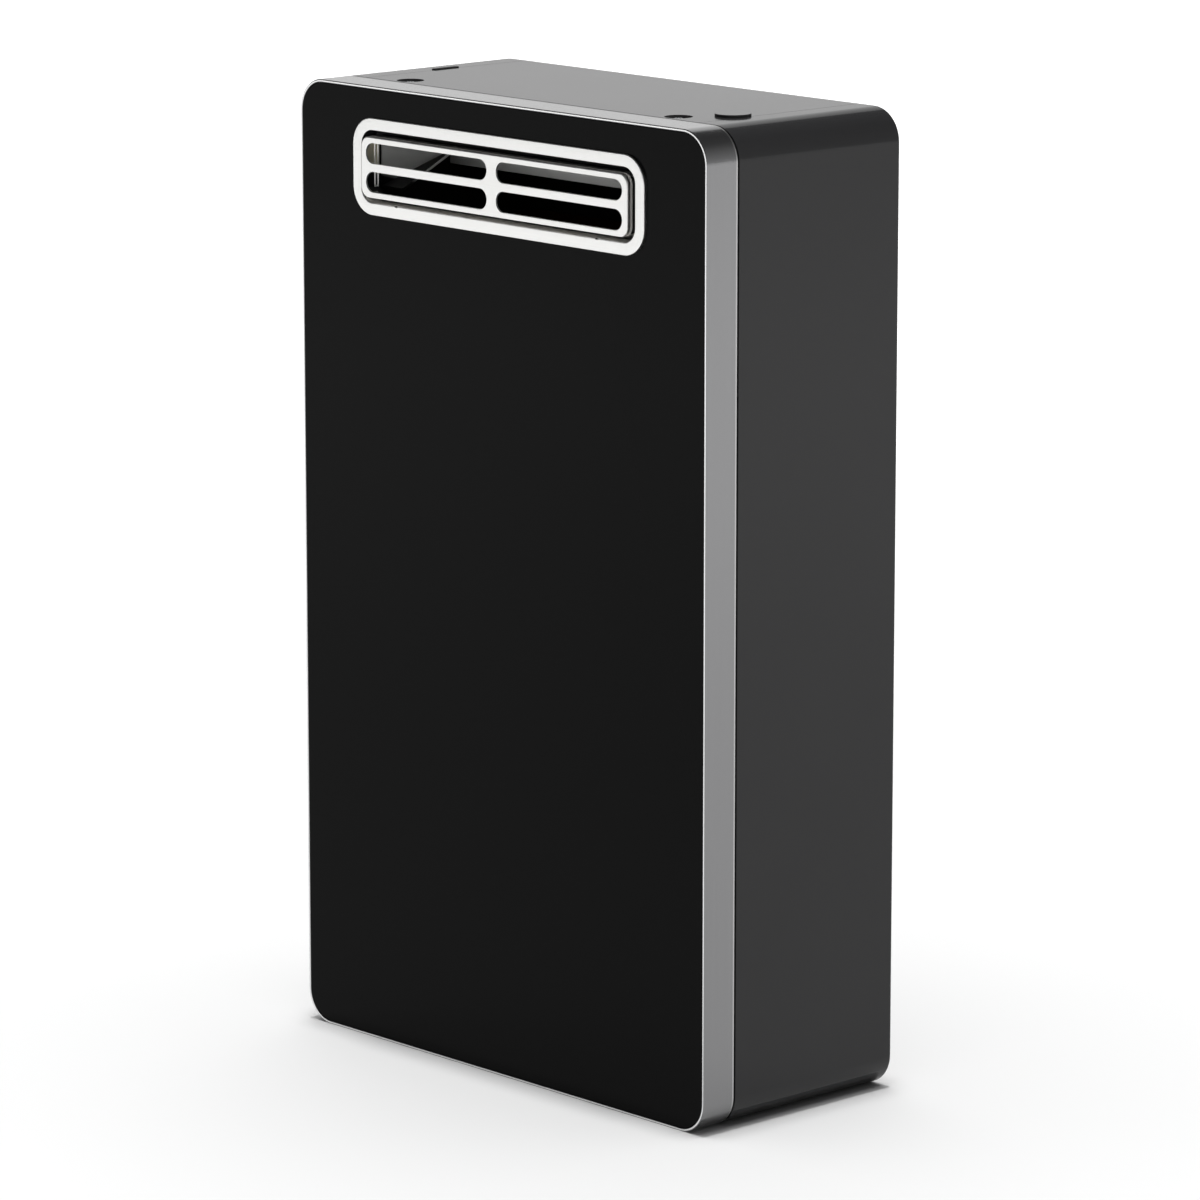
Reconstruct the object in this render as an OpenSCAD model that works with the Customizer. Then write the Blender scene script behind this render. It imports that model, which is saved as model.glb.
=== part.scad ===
// Outdoor tankless gas water heater: a wall-hung sheet-steel casing with a framed glass front cover and a
// front exhaust grille, and the fan, burner, heat exchanger, gas and water parts that it holds.
// X runs to the right, Y to the back, Z up. The origin is on the base, under the middle of the part.

/* [Casing] */
// Overall height of the casing
body_h = 590; // [570:5:680]
// Overall width of the casing
body_w = 355.5; // [345:0.5:420]
// Depth of the casing from the front rim to the back
body_d = 156; // [150:1:190]
// Outer radius of the four long corners
corner_r = 20; // [18:0.5:24]
// Thickness of the casing's sheet steel
sheet_t = 1.2; // [0.8:0.1:1.6]
// Width of the flanges folded in at the front and the back
flange_w = 13; // [10:0.5:14]
// Outer radius of the fold at the back edge
fold_r = 2; // [1.8:0.1:3]
// Flat strip of each side panel on the top and on the bottom
strip_w = 12.75; // [10:0.25:20]
// Gap at each seam between two sheets
seam_gap = 0.4; // [0.2:0.1:0.8]
// Width of the lap under each side of a seam
lap_w = 6; // [4:0.5:8]

/* [Front cover] */
// Depth of the aluminium band
band_d = 24.3; // [22:0.1:30]
// Width of the bright lip round the glass
lip_w = 1.8; // [1.2:0.1:2.4]
// Chamfer on the band's outer edges
band_chamfer = 0.5; // [0.2:0.1:0.8]
// Depth of the bright cut along the band's back edge
back_cut_h = 0.25; // [0.1:0.05:0.4]
// Width of that cut
back_cut_w = 1.2; // [0.8:0.1:2]
// Inner edge of the ledge behind the glass, from the outer face
ledge_w = 8; // [6:0.5:10]
// Thickness of the ledge and of the band's back flange
ledge_t = 1.5; // [1:0.1:2]
// Inner edge of the band's back flange, from the outer face
band_flange_w = 12; // [9:0.5:14]
// Thickness of the glass
glass_t = 4; // [3:0.5:5]
// Distance of the glass behind the rim
glass_set = 0.2; // [0.1:0.1:0.5]
// Gap round the glass
glass_gap = 0.25; // [0.1:0.05:0.5]
// Thickness of the cover tray's sheet
tray_t = 1; // [0.8:0.1:1.5]
// Gap between the cover tray and the band
tray_gap = 0.4; // [0.2:0.1:0.6]
// Thickness of the gasket between the cover and the casing
gasket_t = 1.2; // [0.8:0.1:2]
// Distance of the gasket's outer edge from the outer face
gasket_in = 2.4; // [1.5:0.1:4]
// Width of the gasket
gasket_w = 7; // [4:0.5:8]

/* [Cover screws] */
// Distance of the cover screws from the middle
screw_x = 117; // [105:1:125]
// Distance of the cover screws behind the band
screw_back = 11.2; // [10:0.1:14]
// Radius of the dish that each screw sits in
dish_r = 8.3; // [7:0.1:9]
// Depth of the dish
dish_h = 2.6; // [2:0.1:3.4]
// Radius of the screw's shank
screw_r = 2; // [1.5:0.1:2.5]
// Radius of the screw's head
screw_head_r = 3; // [2.9:0.1:4.5]
// Height of the screw's head
screw_head_h = 2.1; // [1.8:0.1:2.6]
// Width of each cover lug
lug_w = 18; // [14:1:24]
// Thickness of each cover lug
lug_t = 2; // [1.5:0.1:3]

/* [Exhaust outlet] */
// Distance of the outlet's middle below the casing's top
outlet_drop = 48.2; // [46:0.1:60]
// Width of the bezel
bezel_w = 254.7; // [230:0.1:258]
// Height of the bezel
bezel_h = 58.7; // [52:0.1:60]
// Corner radius of the bezel
bezel_r = 17; // [15:0.5:22]
// Width of the bezel's flat ring
bezel_rim = 7.5; // [6:0.1:9]
// Height of the bezel above the rim
bezel_proud = 1.7; // [1:0.1:2.5]
// Chamfer on the bezel's front edges
bezel_chamfer = 0.5; // [0.2:0.1:0.8]
// Thickness of the bezel's sleeve
sleeve_t = 1; // [0.8:0.1:1.5]
// Reach of the sleeve and the grille behind the rim
sleeve_back = 9.4; // [8:0.1:10]
// Gap between the bezel and the grille plate
grille_gap = 3.5; // [3:0.1:4]
// Height of the grille plate above the rim
grille_proud = 4.6; // [3:0.1:6]
// Thickness of the grille's sheet
grille_t = 1.2; // [1:0.1:1.5]
// Inner radius of the grille plate's front bend
grille_bend = 0.3; // [0.2:0.1:1.2]
// Width of the bar between the left and right slots
slot_bar = 8.3; // [6:0.1:12]
// Width of the bar between the upper and lower slots
row_bar = 5.1; // [4:0.1:7]
// Margin beside the slots
slot_margin = 4.2; // [3.5:0.1:6]
// Margin above and below the slots
row_margin = 3.6; // [3:0.1:5]

/* [Flue] */
// Distance of the flue box behind the rim
flue_set = 10.5; // [10.3:0.1:14]
// Width of the flue box
flue_w = 250; // [248:1:264]
// Height of the flue box above the outlet's middle
flue_up = 28.5; // [26:0.5:29]
// Depth of the flue box below the outlet's middle
flue_down = 40; // [34:1:50]
// Thickness of the flue and chamber sheets
flue_t = 1; // [0.8:0.1:1.5]
// Inside width of the deflector
deflector_w = 234; // [200:1:236]
// Distance of the deflector's back wall behind the rim
deflector_back = 68; // [50:1:90]
// Depth of the deflector's back wall below the outlet's middle
deflector_low = 5; // [2:0.5:10]
// Depth of each cheek's front corner below the outlet's middle
cheek_low = 14.2; // [10:0.1:18]
// Height of each cheek's back corner above the outlet's middle
cheek_high = 2.4; // [0:0.1:6]
// Width of each cheek's flange at the front
cheek_flange_w = 19; // [12:0.5:24]
// Width of each cheek's flange at the back
cheek_flange_end = 2.2; // [1.5:0.1:6]

/* [Cap and grommet] */
// Distance of the cap's middle from the right seam
plug_side = 9.6; // [9:0.1:20]
// Distance of the cap's middle behind the rim
plug_back = 61.2; // [50:0.1:80]
// Radius of the cap
plug_r = 10.7; // [8:0.1:12]
// Height of the cap
plug_h = 1.6; // [1.2:0.1:3]
// Length of the grommet
grommet_l = 19; // [12:0.5:24]
// Width of the grommet
grommet_w = 2.4; // [2:0.1:5]
// Distance of the grommet's middle behind the rim
grommet_back = 90.4; // [70:0.1:110]

/* [Heat exchanger and burner] */
// Width of the exchanger, the chamber and the burner tray
core_w = 236; // [226:2:246]
// Space between the flue box's front and the core
burner_space = 33.1; // [32:0.1:36]
// Space between the core and the rear panel
core_gap = 14; // [10:1:20]
// Height of the heat exchanger
exchanger_h = 62; // [56:1:70]
// Height of the burner tray
burner_h = 70; // [66:1:80]
// Number of fins
fin_n = 26; // [12:1:27]
// Thickness of a fin
fin_t = 0.8; // [0.5:0.1:1]
// Height of a fin
fin_h = 50; // [40:1:54]
// Number of passes of the water tube
tube_n = 6; // [4:2:6]
// Distance of the outer passes from the core's front and back
tube_edge = 8; // [7.8:0.1:10]
// Outer radius of the water tube
tube_r = 6; // [5:0.1:6.5]
// Wall of the water tube
tube_wall = 0.8; // [0.6:0.1:1]
// Number of burner bars
bar_n = 8; // [5:1:9]
// Width of a burner bar's head
bar_w = 13; // [10:0.5:15]

/* [Fan] */
// Space between the recess and the fan
fan_lift = 47.6; // [30:0.1:60]
// Radius of the fan wheel
wheel_r = 38; // [32:1:40]
// Width of the fan wheel
wheel_w = 28; // [20:1:30]
// Number of blades
blade_n = 24; // [12:1:32]
// Width of the fan housing
fan_d = 38; // [36:1:44]
// Wall of the fan housing
fan_t = 1.5; // [1.2:0.1:2]
// Radius of the fan motor
motor_r = 26; // [20:1:28]
// Length of the fan motor
motor_l = 32; // [28:1:36]
// Radius of the fan shaft
shaft_r = 2.5; // [2:0.1:3]

/* [Connections] */
// Space between the seam and the recess in the base
recess_side = 19; // [16:1:24]
// Space between the screw dishes and the recess
recess_front_gap = 4.2; // [4:0.1:12]
// Space between the recess and the back
recess_back_gap = 26; // [22:1:30]
// Height of the recess
recess_h = 49; // [44:1:56]
// Distance of the gas fitting from the recess's left side
gas_in = 26; // [24:1:28]
// Distance of the cold water fitting from the recess's right side
cold_in = 21; // [20:1:24]
// Distance between the hot and the cold water fitting
water_pitch = 55; // [52:1:60]
// Distance between the gas fitting and the cord gland
gland_pitch = 34; // [32:1:36]
// Outer radius of the half-inch pipe thread
thread_r = 10.48; // [9:0.01:11]
// Length of the pipe thread
thread_l = 18; // [14:1:20]
// Outer radius of the inner pipes
pipe_r = 6.8; // [6.7:0.1:7.5]
// Bend radius of the inner pipes
pipe_bend = 12; // [10:0.5:14]

/* [Fits] */
// Radial clearance of a turning or sliding piece
run_fit = 0.06; // [0.02:0.01:0.1]
// Clearance of a fixed round joint
seat_fit = 0.05; // [0.02:0.01:0.1]
// Clearance between loose sheet parts
sheet_fit = 0.3; // [0.2:0.05:0.5]

/* [Hidden] */
$fn = 64;

// Depths, counted from the front
back_y = (body_d + grille_proud) / 2;
rim_y = back_y - body_d;
band_back = rim_y + band_d;
body_front = band_back + gasket_t;
glass_in = lip_w + glass_gap;
tray_y = rim_y + glass_set + glass_t;
ledge_back = tray_y + ledge_t;
tray_in = ledge_w + tray_gap;
tray_back = tray_y + tray_t;
cover_back = ledge_back + tray_t;
flue_front = rim_y + flue_set;
panel_y = back_y - 2 * sheet_t;
core_back = panel_y - core_gap;
core_front = flue_front + burner_space;
core_d = core_back - core_front;
core_y = (core_back + core_front) / 2;
screw_y = band_back + screw_back;
recess_front = screw_y + dish_r + recess_front_gap;
recess_back = back_y - recess_back_gap;
recess_d = recess_back - recess_front;
fit_y = (recess_front + recess_back) / 2;

// Widths and heights
seam_x = body_w / 2 - corner_r - strip_w;
outlet_z = body_h - outlet_drop;
flue_top = outlet_z + flue_up;
flue_low = outlet_z - flue_down;
exchanger_z = flue_low - exchanger_h;
scroll_r0 = wheel_r + 8;
scroll_r1 = wheel_r + 24;
fan_up = scroll_r1 + 18;
fan_z = recess_h + sheet_t + fan_lift + scroll_r1;
burner_z = fan_z + fan_up;
chamber_z = burner_z + burner_h;
chamber_h = exchanger_z - chamber_z;
recess_w = 2 * (seam_x - recess_side);
gas_x = gas_in - recess_w / 2;
gland_x = gas_x + gland_pitch;
cold_x = recess_w / 2 - cold_in;
hot_x = cold_x - water_pitch;
lug_drop = max(flange_w, band_flange_w) + 2;

// Exhaust outlet
open_w = bezel_w - 2 * bezel_rim;
open_h = bezel_h - 2 * bezel_rim;
open_r = bezel_r - bezel_rim;
cut_gap = sleeve_t + tray_gap;
grille_w = open_w - 2 * grille_gap;
grille_h = open_h - 2 * grille_gap;
grille_r = open_r - grille_gap;
grille_y = rim_y - grille_proud;
grille_edge = grille_bend + grille_t;
slot_l = (grille_w - slot_bar - 2 * slot_margin) / 2;
slot_h = (grille_h - row_bar - 2 * row_margin) / 2;
// Drain notches in the lower edge of the bezel's ring: place, width and depth
notch_x = 88;
notch_w = 3;
notch_h = 0.8;

// Dish for a cover screw: outer radius and narrowing toward its floor
dish_out = dish_r + sheet_t;
dish_draft = 0.6;

// Flange of the connection tray on the bottom panel
recess_lip = 2.5;

// Room kept beside the intake grille, across and along the recess
intake_clear_w = 54;
intake_clear_d = 38;

// Rolled edge of the deflector's flanges
hem_r = 0.9;

// Cap and grommet on the top
plug_x = seam_x - plug_side;
plug_y = rim_y + plug_back;
plug_edge = 0.5;
plug_stem_r = 5;
grommet_lip = 0.8;
grommet_h = 0.5;
grommet_edge = 0.2;
grommet_x = -seam_x - seam_gap / 2 - grommet_w / 2 - grommet_lip - grommet_edge;
grommet_y = rim_y + grommet_back;

// Wall holes and stiffening beads of the rear panel
wall_hole_r = 4;
wall_hole_in = 27;
wall_hole_low = 60;
wall_hole_high = 30;
bead_r = 5;
bead_x = 108;
bead_low = 80;
bead_high = 100;

// Water tube
fin_pitch = (core_w - 26) / fin_n;
tube_z = exchanger_z + exchanger_h / 2;
tube_end = core_w / 2 + 6;
stub_l = 10;
riser_x = tube_end + stub_l + 1 + pipe_bend;
tube_pitch = (core_d - 2 * tube_edge) / (tube_n - 1);
function tube_y(i) = core_y + (i - (tube_n - 1) / 2) * tube_pitch;

// Burner
bar_pitch = (core_w - 20) / bar_n;
bar_z = burner_z + 12;
bar_h = burner_h - 20;
venturi_r = 5.5;
nozzle_z = bar_z + venturi_r;
manifold_y = core_front - 15;
manifold_s = 22;
manifold_l = core_w - 12;
function bar_x(i) = (i - (bar_n - 1) / 2) * bar_pitch;

// Fan: the scroll opens from its tongue to the outlet
tongue = 75;
fan_y1 = core_back - 2;
fan_y0 = fan_y1 - fan_d;
wheel_y0 = fan_y0 + fan_t + 3;
inlet_r = wheel_r - 9;
hub_r = 7;
shaft_in = motor_l - 8;

// Fittings
fit_low = 6;
hex_r = 15;
hex_h = 10;
seat_r = 16;
seat_h = 3;
shank_r = 11.5;
shank_up = 10;
fit_top = recess_h + shank_up;
bore_r = 6;
socket_h = 8;
pipe_bore = tube_r + seat_fit;

// Gas valve
valve_w = 54;
valve_d = 44;
valve_h = 72;
valve_front = fit_y - valve_d / 2;
cavity_r = 9;
cavity_l = 18;
seat_hole_r = 5;
disc_r = 7.5;
disc_t = 3;
disc_gap = 0.1;
plunger_r = 5;
plunger_tail = 18;
coil_r = 14;
coil_l = 34;
coil_bore_l = 24;
shutoff_z = fit_top + 52;
modulating_z = fit_top + 20;
feed_z = fit_top + valve_h + 36;

// Valve springs
wire_r = 0.6;
spring_r = plunger_r + wire_r + 0.6;
spring_turns = 5;
spring_rings = 8;
spring_sides = 6;
spring_l = cavity_l - disc_gap - disc_t - 2 * (wire_r + disc_gap);

// Flow sensor
sensor_r = 16;
sensor_h = 52;
sensor_z = fit_top;
chamber_r = 10.5;
spider_h = 2;
turbine_r = 9.8;
turbine_h = 14;
pivot_r = 1;
pivot_l = 1.6;
turbine_z = sensor_z + 16;

// Electrics
box_w = 130;
box_h = 100;
box_t = 2;
box_z = 18;
board_space = 15.6;
box_back = recess_front + sheet_fit;
box_d = box_back - cover_back - board_space;

// Outlines drawn flat, then stood up in the XZ plane

module round_rect(w, h, r) {
  square([w - 2 * r, h], center = true);
  square([w, h - 2 * r], center = true);
  for (sx = [-1, 1], sy = [-1, 1])
    translate([sx * (w / 2 - r), sy * (h / 2 - r)]) circle(r);
}

module round_slot(l, d) {
  square([l - d, d], center = true);
  for (s = [-1, 1])
    translate([s * (l - d) / 2, 0]) circle(d / 2);
}

// A sheet of thickness t with its front face at depth y
module upright(y, t) {
  translate([0, y + t, 0]) rotate([90, 0, 0]) linear_extrude(t) children();
}

// A round bar or bore from depth y back to y + l
module along_y(x, y, z, l) {
  translate([x, y, z]) rotate([-90, 0, 0]) linear_extrude(l) children();
}

// Runs that carry a profile, drawn as [inset from the outer face, depth], round a rounded outline

module run_side(w, h, r, z, side) {
  translate([side * w / 2, 0, z + r]) linear_extrude(h - 2 * r)
    if (side > 0) mirror([1, 0]) children();
    else children();
}

module run_top(x0, x1, z) {
  translate([x0, 0, z]) rotate([0, 90, 0]) linear_extrude(x1 - x0) children();
}

module run_bottom(x0, x1, z) {
  translate([x1, 0, z]) rotate([0, -90, 0]) linear_extrude(x1 - x0) children();
}

module run_corner(w, h, r, z, sx, sz) {
  turn = sx > 0 ? (sz > 0 ? -90 : 0) : (sz > 0 ? 180 : 90);
  translate([sx * (w / 2 - r), 0, sz > 0 ? z + h - r : z + r])
    rotate([-90, 0, 0]) rotate([0, 0, turn]) rotate_extrude(angle = 90)
      translate([r, 0]) mirror([1, 0]) children();
}

module ring(w, h, r, z) {
  run_top(r - w / 2, w / 2 - r, z + h) children();
  run_bottom(r - w / 2, w / 2 - r, z) children();
  for (sx = [-1, 1]) {
    run_side(w, h, r, z, sx) children();
    for (sz = [-1, 1])
      run_corner(w, h, r, z, sx, sz) children();
  }
}

// The casing's own outline, and the outlet's
module casing_ring() {
  ring(body_w, body_h, corner_r, 0) children();
}

module casing_outline(inset) {
  translate([0, body_h / 2])
    round_rect(body_w - 2 * inset, body_h - 2 * inset, corner_r - inset);
}

module outlet_outline(grow) {
  translate([0, outlet_z]) round_rect(open_w + 2 * grow, open_h + 2 * grow, open_r + grow);
}

// The same thing at the top and, turned over, at the bottom
module top_and_bottom() {
  children();
  translate([0, 0, body_h]) mirror([0, 0, 1]) children();
}

// Bars and pipes with square bends

function unit(v) = v / norm(v);

module aim(p, d) {
  translate(p) rotate([0, acos(d.z), atan2(d.y, d.x)]) children();
}

module bent_bar(pts, r, bend) {
  last = len(pts) - 1;
  for (i = [0 : last - 1]) {
    d = unit(pts[i + 1] - pts[i]);
    skip = i == 0 ? 0 : bend;
    leg = norm(pts[i + 1] - pts[i]) - skip - (i == last - 1 ? 0 : bend);
    aim(pts[i] + d * skip, d) cylinder(r = r, h = leg);
  }
  for (i = [1 : 1 : last - 1]) {
    a = unit(pts[i] - pts[i - 1]);
    c = unit(pts[i + 1] - pts[i]);
    m = pts[i] + (c - a) * bend;
    n = cross(-c, a);
    multmatrix([[-c.x, a.x, n.x, m.x], [-c.y, a.y, n.y, m.y], [-c.z, a.z, n.z, m.z]])
      rotate_extrude(angle = 90) translate([bend, 0]) circle(r);
  }
}

// The same route with both ends drawn out by e, for the bore
function drawn_out(pts, e) = let (n = len(pts) - 1)
  [for (i = [0 : n]) i == 0 ? pts[0] - unit(pts[1] - pts[0]) * e :
    i == n ? pts[n] + unit(pts[n] - pts[n - 1]) * e : pts[i]];

module pipe(pts) {
  difference() {
    bent_bar(pts, pipe_r, pipe_bend);
    bent_bar(drawn_out(pts, 1), pipe_bore, pipe_bend);
  }
}

// Front cover

module front_frame() {
  color("#8e9092") casing_ring() polygon([
    [band_chamfer, rim_y], [lip_w, rim_y], [lip_w, tray_y], [ledge_w, tray_y], [ledge_w, ledge_back],
    [lip_w, ledge_back], [lip_w, band_back - ledge_t], [band_flange_w, band_back - ledge_t],
    [band_flange_w, band_back], [back_cut_h, band_back], [0, band_back - back_cut_w],
    [0, rim_y + band_chamfer]
  ]);
}

module glass_panel() {
  color("#151517") upright(rim_y + glass_set, glass_t) difference() {
    casing_outline(glass_in);
    outlet_outline(cut_gap);
  }
}

module cover_tray() {
  color("#5a5c5e") {
    upright(tray_y, tray_t) difference() {
      casing_outline(tray_in + tray_t);
      outlet_outline(cut_gap);
    }
    casing_ring() polygon([
      [tray_in, tray_y], [tray_in + tray_t, tray_y], [tray_in + tray_t, cover_back],
      [lip_w + tray_gap, cover_back], [lip_w + tray_gap, ledge_back], [tray_in, ledge_back]
    ]);
  }
}

module cover_gasket() {
  color("#1b1b1b") casing_ring()
    translate([gasket_in, band_back]) square([gasket_w, gasket_t]);
}

// Angle brackets on the back of the tray, which the cover screws pull on
module cover_lugs() {
  lug_l = screw_y + lug_w / 2 - cover_back;
  color("#8a8c8e") top_and_bottom() for (side = [-1, 1]) difference() {
    translate([side * screw_x - lug_w / 2, cover_back, body_h - lug_drop - lug_t]) {
      cube([lug_w, lug_l, lug_t]);
      cube([lug_w, lug_t, lug_drop + lug_t - lip_w - tray_gap]);
    }
    translate([side * screw_x, screw_y, body_h - lug_drop - 2 * lug_t])
      cylinder(r = screw_r + seat_fit, h = 3 * lug_t);
  }
}

module cover_screws() {
  drive_w = 1.1;
  drive_l = 4.4;
  seat_z = body_h - dish_h;
  shank_l = lug_drop + 2 * lug_t - dish_h;
  color("#b9babc") top_and_bottom() for (side = [-1, 1]) translate([side * screw_x, screw_y, seat_z])
    difference() {
      union() {
        intersection() {
          cylinder(r = screw_head_r, h = screw_head_h);
          translate([0, 0, screw_head_h - 2 * screw_head_r]) sphere(2 * screw_head_r);
        }
        translate([0, 0, -shank_l]) cylinder(r = screw_r, h = shank_l);
      }
      for (a = [0, 90]) rotate(a)
        translate([-drive_l / 2, -drive_w / 2, screw_head_h / 2]) cube([drive_l, drive_w, screw_head_h]);
    }
}

// Ring on the glass with broken edges, a sleeve through the cover, and drain notches in its lower edge
module exhaust_bezel() {
  front = rim_y - bezel_proud;
  seat = rim_y + glass_set;
  back = rim_y + sleeve_back;
  c = bezel_chamfer;
  color("#dcdcda") difference() {
    ring(bezel_w, bezel_h, bezel_r, outlet_z - bezel_h / 2) polygon([
      [c, front], [bezel_rim - c, front], [bezel_rim, front + c], [bezel_rim, back],
      [bezel_rim - sleeve_t, back], [bezel_rim - sleeve_t, seat], [0, seat], [0, front + c]
    ]);
    for (side = [-1, 1])
      translate([side * notch_x - notch_w / 2, front - 1, outlet_z - open_h / 2 - notch_h])
        cube([notch_w, bezel_proud, 2 * notch_h]);
  }
}

// Pressed plate that stands through the bezel, with rounded edges, side walls and a back flange
module exhaust_grille() {
  color("#e0e0de") {
    upright(grille_y, grille_t) difference() {
      translate([0, outlet_z])
        round_rect(grille_w - 2 * grille_edge, grille_h - 2 * grille_edge, grille_r - grille_edge);
      for (sx = [-1, 1], sz = [-1, 1])
        translate([sx * (slot_bar + slot_l) / 2, outlet_z + sz * (row_bar + slot_h) / 2])
          round_slot(slot_l, slot_h);
    }
    ring(grille_w, grille_h, grille_r, outlet_z - grille_h / 2) {
      translate([grille_edge, grille_y + grille_edge]) intersection() {
        difference() {
          circle(grille_edge);
          circle(grille_edge - grille_t);
        }
        translate([-grille_edge, -grille_edge]) square(grille_edge);
      }
      translate([0, grille_y + grille_edge])
        square([grille_t, rim_y + sleeve_back - grille_y - grille_edge]);
      translate([seat_fit - grille_gap, rim_y + sleeve_back - grille_t])
        square([grille_gap - seat_fit + grille_t, grille_t]);
    }
  }
}

// Casing

// Section of a casing sheet: front flange, wall, rounded fold and back flange
module sheet_profile() {
  translate([0, body_front]) square([sheet_t, back_y - fold_r - body_front]);
  translate([0, body_front]) square([flange_w, sheet_t]);
  translate([fold_r, back_y - sheet_t]) square([flange_w - fold_r, sheet_t]);
  translate([fold_r, back_y - fold_r]) intersection() {
    difference() {
      circle(fold_r);
      circle(fold_r - sheet_t);
    }
    translate([-fold_r, 0]) square(fold_r);
  }
}

module side_panel(side) {
  edge = seam_x + seam_gap / 2;
  start = side > 0 ? edge : corner_r - body_w / 2;
  stop = side > 0 ? body_w / 2 - corner_r : -edge;
  run_side(body_w, body_h, corner_r, 0, side) sheet_profile();
  for (sz = [-1, 1])
    run_corner(body_w, body_h, corner_r, 0, side, sz) sheet_profile();
  run_top(start, stop, body_h) sheet_profile();
  run_bottom(start, stop, 0) sheet_profile();
}

module grommet_outline(grow) {
  translate([grommet_x, grommet_y]) rotate(90)
    round_slot(grommet_l + 2 * grow, grommet_w + 2 * grow);
}

module left_side_panel() {
  color("#3a3a3b") difference() {
    side_panel(-1);
    translate([0, 0, body_h - 2 * sheet_t]) linear_extrude(3 * sheet_t) grommet_outline(seat_fit);
  }
}

module right_side_panel() {
  color("#3a3a3b") side_panel(1);
}

// Strips under both seams that the side panels lie on
module laps() {
  front = body_front + sheet_t + sheet_fit;
  back = back_y - fold_r - sheet_fit - sheet_t;
  for (side = [-1, 1])
    translate([side * seam_x - lap_w, front, body_h - 2 * sheet_t])
      cube([2 * lap_w, back - front, sheet_t]);
}

// Steep-walled dish pressed into the sheet for a cover screw
module screw_dish() {
  hole_r = screw_r + sheet_fit;
  translate([0, 0, body_h]) rotate_extrude() polygon([
    [dish_r, 0], [dish_out, 0], [dish_out, -dish_h - sheet_t], [hole_r, -dish_h - sheet_t],
    [hole_r, -dish_h], [dish_r - dish_draft, -dish_h]
  ]);
}

module end_panel() {
  edge = seam_x - seam_gap / 2;
  difference() {
    union() {
      run_top(-edge, edge, body_h) sheet_profile();
      laps();
    }
    for (side = [-1, 1]) translate([side * screw_x, screw_y, body_h - dish_h - sheet_t])
      cylinder(r = dish_out, h = dish_h + 2 * sheet_t);
  }
  for (side = [-1, 1])
    translate([side * screw_x, screw_y, 0]) screw_dish();
}

module top_panel() {
  color("#3a3a3b") difference() {
    end_panel();
    translate([plug_x, plug_y, body_h - 3 * sheet_t]) cylinder(r = plug_stem_r + seat_fit, h = 4 * sheet_t);
  }
}

module recess_outline(grow) {
  translate([0, fit_y]) round_rect(recess_w + 2 * grow, recess_d + 2 * grow, 10 + grow);
}

module bottom_panel() {
  color("#3a3a3b") difference() {
    translate([0, 0, body_h]) mirror([0, 0, 1]) end_panel();
    translate([0, 0, -1]) linear_extrude(2 + sheet_t) recess_outline(0);
  }
}

// Upright half-round bead with ball ends
module bead(x, z0, z1, r) {
  translate([x, panel_y + sheet_t, z0]) {
    cylinder(r = r, h = z1 - z0);
    sphere(r);
    translate([0, 0, z1 - z0]) sphere(r);
  }
}

module rear_panel() {
  front_half = [[-body_w, -body_d, 0], [2 * body_w, body_d + panel_y + sheet_t, body_h]];
  color("#48494a") difference() {
    union() {
      upright(panel_y, sheet_t) difference() {
        casing_outline(fold_r + sheet_fit);
        for (sx = [-1, 1], z = [wall_hole_low, body_h - wall_hole_high])
          translate([sx * (body_w / 2 - wall_hole_in), z]) circle(wall_hole_r);
      }
      intersection() {
        for (sx = [-1, 1]) bead(sx * bead_x, bead_low, body_h - bead_high, bead_r);
        translate(front_half[0]) cube(front_half[1]);
      }
    }
    for (sx = [-1, 1]) bead(sx * bead_x, bead_low, body_h - bead_high, bead_r - sheet_t);
  }
}

// Pressed tray that forms the recess for the connections
module connection_tray() {
  color("#4b4c4e") difference() {
    union() {
      linear_extrude(recess_h) recess_outline(-sheet_fit);
      translate([0, 0, sheet_t]) linear_extrude(sheet_t) recess_outline(recess_lip);
    }
    translate([0, 0, -1]) linear_extrude(recess_h + 1 - sheet_t) recess_outline(-sheet_fit - sheet_t);
    for (x = [gas_x, hot_x, cold_x])
      translate([x, fit_y, 0]) cylinder(r = shank_r + sheet_fit, h = 2 * recess_h);
    translate([gland_x, fit_y, 0]) cylinder(r = gland_r + sheet_fit, h = 2 * recess_h);
    translate([intake_x - intake_w / 2, fit_y - intake_d / 2, 0]) cube([intake_w, intake_d, 2 * recess_h]);
  }
}

gland_r = 8;
intake_x = (gland_x + hot_x) / 2;
intake_w = hot_x - gland_x - intake_clear_w;
intake_d = recess_d - intake_clear_d;
intake_lip = 5;
louvre_w = 3.4;
louvre_pitch = 7.2;

module intake_grille() {
  n = floor(intake_w / louvre_pitch);
  color("#9a9b9d") translate([intake_x, fit_y, recess_h]) linear_extrude(sheet_t) difference() {
    round_rect(intake_w + 2 * intake_lip, intake_d + 2 * intake_lip, intake_lip);
    for (i = [0 : n - 1]) translate([(i - (n - 1) / 2) * louvre_pitch, 0]) rotate(90)
      round_slot(intake_d - 4, louvre_w);
  }
}

// Push-in cap with a snap bead under the sheet
module top_plug() {
  under = body_h - 2 * sheet_t - 0.1;
  color("#3c3c3d") translate([plug_x, plug_y, 0]) {
    translate([0, 0, body_h]) rotate_extrude() polygon([[0, 0], [plug_r, 0], [plug_r, plug_h - plug_edge],
      [plug_r - plug_edge, plug_h], [0, plug_h]]);
    translate([0, 0, under - 2]) cylinder(r = plug_stem_r, h = body_h - under + 2);
    translate([0, 0, under - 2]) rotate_extrude()
      polygon([[0, 0], [plug_stem_r, 0], [plug_stem_r + 1, 2], [0, 2]]);
  }
}

module top_grommet() {
  color("#101010") {
    translate([0, 0, body_h - sheet_t]) linear_extrude(sheet_t) grommet_outline(0);
    translate([0, 0, body_h]) linear_extrude(grommet_h) grommet_outline(grommet_lip);
  }
}

// Flue

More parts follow.
